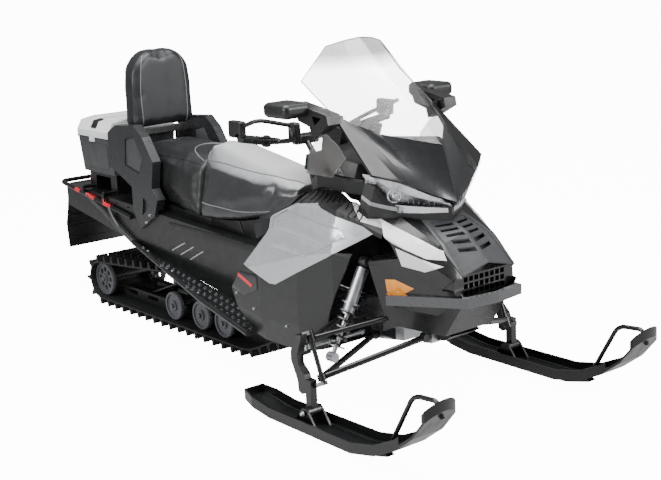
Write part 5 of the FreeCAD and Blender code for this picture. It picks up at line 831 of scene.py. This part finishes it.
# %% Amber lens and side recess
panel_pair("lower_nose", "amber_side_lens", "side",
           [(983, 551), (1022, 554), (1098, 528), (1040, 494), (984, 500)],
           (0.3, -0.95, -0.15), 2.0, "amber_glass", amber_lens, slack=0.4, bevel_mm=0.5)
panel_pair("side_panels", "side_recess", "side",
           [(425, 612), (470, 738), (800, 752), (846, 702), (650, 608)],
           (0.05, -1, 0.15), 1.6, None, panel_paint, slack=0.6, bevel_mm=1.2)

# %% [markdown]
# ## Bolts
# A flanged hex bolt is a six-sided head on a round washer. One of each size is modelled and
# copied, each copy with its own mesh.

# %% Flanged bolts
# Sides, width, height and start of washer and head, as shares of the size across.
WASHER, HEAD = (24, 1.35, 0.18, 0.0), (6, 1.0, 0.55, 0.18)
BOLT_EDGE = 0.06
SKI_MIDDLE, TUNNEL_SIDE = 538, 207
NAMED_SIDES = ((1, "left"), (-1, "right"))


def bolts(name, places, axis, across_mm, material, body="chassis"):
    """Flanged hex bolts with their seats at places, in mm, heads pointing along axis."""
    parts = []
    for sides, wide, high, start in (WASHER, HEAD):
        part = fresh(bpy.ops.mesh.primitive_cylinder_add, vertices=sides,
                     radius=across_mm * wide / 2 * MM, depth=across_mm * high * MM,
                     location=(0, 0, across_mm * (start + high / 2) * MM))
        shape(part, "BEVEL", width=across_mm * BOLT_EDGE * MM, segments=2, limit_method="ANGLE")
        parts.append(part)
    out = Vector(axis).normalized()
    made = copies(joined(parts), [(Vector(place) * MM, out) for place in places])
    print(name, len(places), "bolts")
    return settle(joined(made), name, body, material, angle=30)


for side, word in NAMED_SIDES:
    out, ski = (0, side, 0), "ski_" + word
    bolts("ski_bolt_" + word, [(890, side * (SKI_MIDDLE + 44), 88)], out, 15, zinc_steel, ski)
    bolts("ski_handle_bolt_" + word, [(1548, side * SKI_MIDDLE, 246)], (-0.35, 0, 1), 15,
          zinc_steel, ski)
    bolts("belly_bolts_" + word,
          [(300, side * 360, 330), (520, side * 361, 300), (170, side * 352, 372)],
          out, 9, zinc_steel)
    bolts("guard_bolts_" + word, [(-700, side * 224, 560), (-735, side * 224, 520)],
          out, 11, zinc_steel)
    bolts("tunnel_bolts_" + word,
          [(x, side * TUNNEL_SIDE, 545 + (-x - 600) * 0.06) for x in range(-1480, -600, 110)],
          out, 8, powder_black)

# %% [markdown]
# ## Ridges of the skis
# A moulded ski is stiffened by long ridges on its upper side. They are round lines dropped onto it
# from above, point by point, so that they follow its rise.

# %% Ski ridges
RIDGE_OFF = 44


def dropped(thing, x, y, z, least):
    """Where a point in mm falls on a piece, with the normal there, if it is flat enough."""
    hit, place, normal, _ = thing.ray_cast(Vector((x, y, z)) * MM, Vector((0, 0, -1)))
    return (place, normal) if hit and normal.z >= least else None


for side, word in NAMED_SIDES:
    runs = []
    for off in (-RIDGE_OFF, RIDGE_OFF):
        found = [dropped(nodes["ski_" + word], x, side * (SKI_MIDDLE + off), 700, 0.6)
                 for x in range(560, 1480, 40)]
        runs.append([tuple(spot[0] / MM) for spot in found if spot])
    lines("ski_ridges_" + word, runs, 5.0, "ski_black", ski_plastic, body="ski_" + word, both=False)

# %% [markdown]
# ## Running boards and tunnel
# The boards are punched sheet whose raised rings grip a boot. A ring is a low open cone, modelled
# once. Its copies stand on the sheet where a ray from above finds it, in rows along the board.

# %% Grip rings
ROWS, RINGS, RING_REAR, RING_STEP, ROW_SHIFT = 3, 24, -760, 43, 14
ROW_FIRST, ROW_STEP, BOARD_FRONT, RING_LIFT = 240, 42, 235, 0.0022
seats = []
for side in SIDES:
    for row in range(ROWS):
        for number in range(RINGS):
            x = RING_REAR + number * RING_STEP + row * ROW_SHIFT
            out = ROW_FIRST + row * ROW_STEP
            # The board is narrow at the rear and widens forwards.
            board_edge = 254 + (x + 900) * 0.12
            if out > board_edge or x > BOARD_FRONT:
                continue
            spot = dropped(nodes["running_boards"], x, side * out, 900, 0.7)
            if spot:
                seats.append((spot[0] + spot[1] * RING_LIFT, spot[1]))
ring = fresh(bpy.ops.mesh.primitive_cone_add, vertices=10, radius1=0.0095, radius2=0.006,
             depth=0.005, end_fill_type="NOTHING")
shape(ring, "SOLIDIFY", thickness=0.0012)
print(len(seats), "grip rings")
settle(joined(copies(ring, seats)), "board_rings", "chassis", bumper_coat, angle=30)

# %% Steps and panels along the tunnel
# The steps are drawn in silver grey: a painted highlight for the bright lines that the lights leave
# along the tunnel's ribs.
lines("tunnel_steps", [[(rear, -TUNNEL_SIDE, low), (front, -TUNNEL_SIDE, high)]
                       for rear, low, front, high in (
                           (-548, 412, -440, 462), (-478, 402, -366, 455), (-398, 392, -290, 446))],
      3.6, None, stripe_grey, smooth=False)
for name, outline in (
        ("base_panels_rear", [(-620, 585), (-600, 655), (-330, 640), (-300, 560)]),
        ("base_panels_front", [(-260, 552), (-240, 612), (-90, 606), (-60, 548)])):
    panel_pair("seat_base", name, "side", outline, SIDEWAYS, 4, None, belly_plastic,
               slack=0.6, bevel_mm=1.2)
panel_pair("tunnel", "tunnel_skirt", "side", [(-560, 520), (-560, 545), (150, 545), (150, 505)],
           SIDEWAYS, 3, None, grained_plastic, slack=0.6, bevel_mm=0.8)

# %% [markdown]
# ## Rear end
# A tapered brace runs from the end of each running board up to the rack. The box has a raised panel
# on each side, a dark gasket under its pale lid, and two pads and two short black straps on the lid.
# The flap is stiffened by three ribs, and short red sleeves mark the rack.

# %% Box and lid
lines("box_gasket", [[(-1404, -194, 876), (-1404, 194, 876), (-1091, 194, 876), (-1091, -194, 876)]],
      2.4, None, mesh_black, both=False, smooth=False, closed=True)
panel_pair("cargo_box", "box_side_panels", "side",
           [(-1372, 850), (-1122, 850), (-1140, 722), (-1345, 722)],
           SIDEWAYS, 2.0, "box_grey", box_plastic, slack=0.6, bevel_mm=0.9)
pads = [panel("cargo_lid", "lid_pad", "plan", outline, (0, 0, 1), 3, slack=0.6, bevel_mm=1.2)
        for outline in ([(-1385, -150), (-1385, 150), (-1285, 150), (-1285, -150)],
                        [(-1262, -150), (-1262, 150), (-1110, 120), (-1110, -120)])]
settle(joined(pads), "lid_pads", "lid", lid_plastic, angle=35)
panel_pair("cargo_lid", "lid_straps", "plan",
           [(-1272, -185), (-1272, -128), (-1222, -128), (-1222, -185)],
           (0, -0.2, 0.95), 4, None, grained_plastic, body="lid", slack=0.4, bevel_mm=1.0)

# %% Rack, guards and flap
lines("rack_braces", [[(-884, -222, 402), (-1040, -224, 470), (-1300, -222, 582)],
                      [(-1010, -223, 458), (-1060, -224, 500), (-1090, -224, 550)]],
      10, None, deck_plastic, smooth=False)
# The insets are a lighter grey than the guards: a painted highlight for the bright patch that the
# lights leave on each guard's recessed panel.
panel_pair("passenger_guards", "guard_insets", "side",
           [(-890, 782), (-875, 900), (-806, 918), (-738, 820), (-774, 758)],
           SIDEWAYS, 1.2, None, box_plastic, slack=0.6)
ribs = [panel("snow_flap", "flap_rib", "front",
              [(-170, z), (-170, z + 12), (170, z + 12), (170, z)], (1, 0, 0), 3, slack=0.4)
        for z in (300, 360, 420)]
settle(joined(ribs), "flap_ribs", "chassis", flap_rubber, angle=35)
for number, (start, end, tube) in enumerate(
        ((-1420, -1370, 594), (-1310, -1225, 582), (-1140, -1070, 562))):
    panel_pair("rear_rack", "rack_flash_%d" % number, "side",
               [(start, tube - 18), (start, tube + 20), (end, tube + 16), (end, tube - 24)],
               (0, -1, 0.2), 0.8, None, accent_red, slack=0.5, bevel_mm=0)

# %% [markdown]
# ## Console, mirrors and controls
# The console has a satin panel on each side, the instrument a blank black display, the mirrors their
# silvered glass. A lever stands ahead of each grip, and low rings of rubber run round the grip.

# %% Controls
panel_pair("dash", "console_panels", "side",
           [(640, 925), (690, 975), (800, 958), (846, 902), (780, 884)],
           SIDEWAYS, 3, None, pillar_satin, slack=0.5, bevel_mm=1)
settle(panel("instrument", "display", "plan", [(470, -84), (596, -84), (596, 84), (470, 84)],
             (-0.5, 0, 0.85), 1.2, slack=0.6),
       "display", "chassis", dial_glass, angle=35)
panel_pair("mirrors", "mirror_glass", "front",
           [(-428, 1156), (-428, 1196), (-318, 1196), (-318, 1156)],
           (-1, 0, 0), 1.0, None, mirror_silver, slack=0.6)
lines("levers", [[(262, -168, 996), (318, -190, 1012), (352, -250, 1026), (362, -330, 1040)]],
      5.0, "frame_black", powder_black, body="handlebar")
RIB_RADIUS, RIB_TURNS = 17, [math.radians(30 * k) for k in range(12)]
lines("grip_ribs", [[(262 + 15 * n, -232 - 28 * n + RIB_RADIUS * math.cos(a),
                      1000 + 9.5 * n + RIB_RADIUS * math.sin(a)) for a in RIB_TURNS]
                    for n in range(5)],
      1.6, "grip_rubber", grip_rubber, body="handlebar", closed=True, on=nodes["grips"])

# %% [markdown]
# ## Floor and backdrop
# The floor and backdrop are pale, as in a studio. Lit plainly, they throw back so much light that
# black panels turn grey. So both glow: brightly where the camera sees them, and faintly for the
# light that they throw. The price is that the machine's shadow hardly shows.

# %% Floor
FLOOR_SIZE, FLOOR_HEIGHT_MM = 60, -0.5


def glow(owner, thrown, seen):
    """A strength of seen where the camera looks at it, and of thrown for the light it gives."""
    direct = add(owner, "ShaderNodeLightPath").outputs["Is Camera Ray"]
    return add(owner, "ShaderNodeMapRange",
               {"Value": direct, "To Min": thrown, "To Max": seen}).outputs[0]


floor = fresh(bpy.ops.mesh.primitive_plane_add, size=FLOOR_SIZE,
              location=(0, 0, FLOOR_HEIGHT_MM * MM))
floor.name = "studio_floor"
floor_paint, floor_shader, floor_place = blank("pale_studio_floor")
noise = add(floor_paint, "ShaderNodeTexNoise",
                  {"Vector": floor_place, "Scale": 1.5, "Detail": 2})
specks = add(floor_paint, "ShaderNodeMix",
                {FACTOR: noise.outputs["Fac"], COLOUR_A: linear("A6A6A6"),
                 COLOUR_B: linear("B0B0B0")}, data_type="RGBA")
wire(floor_paint, specks.outputs[MIXED], floor_shader, "Base Color")
floor_shader.inputs["Roughness"].default_value = 0.7
floor_shader.inputs["Emission Color"].default_value = linear("FFFFFF")
wire(floor_paint, glow(floor_paint, 0.1, 13.0), floor_shader, "Emission Strength")
floor.data.materials.append(floor_paint)
print("floor ready")

# %% Backdrop
world = bpy.data.worlds.new("white_studio")
bpy.context.scene.world = world
world.use_nodes = True
backdrop = world.node_tree.nodes["Background"]
backdrop.inputs["Color"].default_value = linear("F8F9FA")
wire(world, glow(world, 0.3, 13.5), backdrop, "Strength")
print("backdrop ready")

# %% [markdown]
# ## Lights
# Large soft lights leave broad, soft streaks on glossy panels. One hangs overhead, one stands ahead
# to the left, and one stands off the machine's right side.


# %% Lights
def soft_box(name, place, aim, width, height, power):
    """A rectangular studio light that faces its aim, with its power in watts."""
    light = bpy.data.lights.new(name, "AREA")
    light.shape = "RECTANGLE"
    light.size, light.size_y, light.energy = width, height, power
    lamp = bpy.data.objects.new(name, light)
    lamp.location = place
    lamp.rotation_euler = (Vector(aim) - Vector(place)).to_track_quat("-Z", "Y").to_euler()
    link(lamp)


soft_box("overhead", (0.5, -0.5, 4.2), (0, 0, 0.6), 4.5, 3.0, 460)
soft_box("front_left", (4.5, 2.5, 2.6), (0.3, 0, 0.7), 2.0, 2.4, 250)
soft_box("near_side", (0.5, -5.0, 2.2), (0, 0, 0.6), 3.5, 1.6, 200)
print("three soft lights")

# %% [markdown]
# ## Camera
# The camera stands low at the front right with a long lens, and leans a little. Its numbers were
# found by matching points of the machine with their places in a picture.

# %% Camera
AZIMUTH, ELEVATION, LEAN = math.radians(51.35), math.radians(13.22), math.radians(-2.58)
AIM, DISTANCE = Vector((0.3722, 0, 0.5650)), 5.49507
FOCAL_PIXELS, PICTURE_PIXELS, SENSOR_MM = 1309.74, 661, 36
back = Vector((math.sin(AZIMUTH) * math.cos(ELEVATION), -math.cos(AZIMUTH) * math.cos(ELEVATION),
               math.sin(ELEVATION)))
level_right = (-back).cross(Vector((0, 0, 1))).normalized()
level_up = level_right.cross(-back)
right = level_right * math.cos(LEAN) + level_up * math.sin(LEAN)
up = level_up * math.cos(LEAN) - level_right * math.sin(LEAN)
lens_mm = FOCAL_PIXELS * SENSOR_MM / PICTURE_PIXELS
camera_data = bpy.data.cameras.new("photo_camera")
camera_data.lens = lens_mm
camera = bpy.data.objects.new("photo_camera", camera_data)
facing = Matrix((right, up, back)).transposed().to_4x4()
camera.matrix_world = Matrix.Translation(AIM + back * DISTANCE) @ facing
link(camera)
bpy.context.scene.camera = camera
print("camera at", [round(v, 3) for v in camera.location], "lens", round(lens_mm, 2))
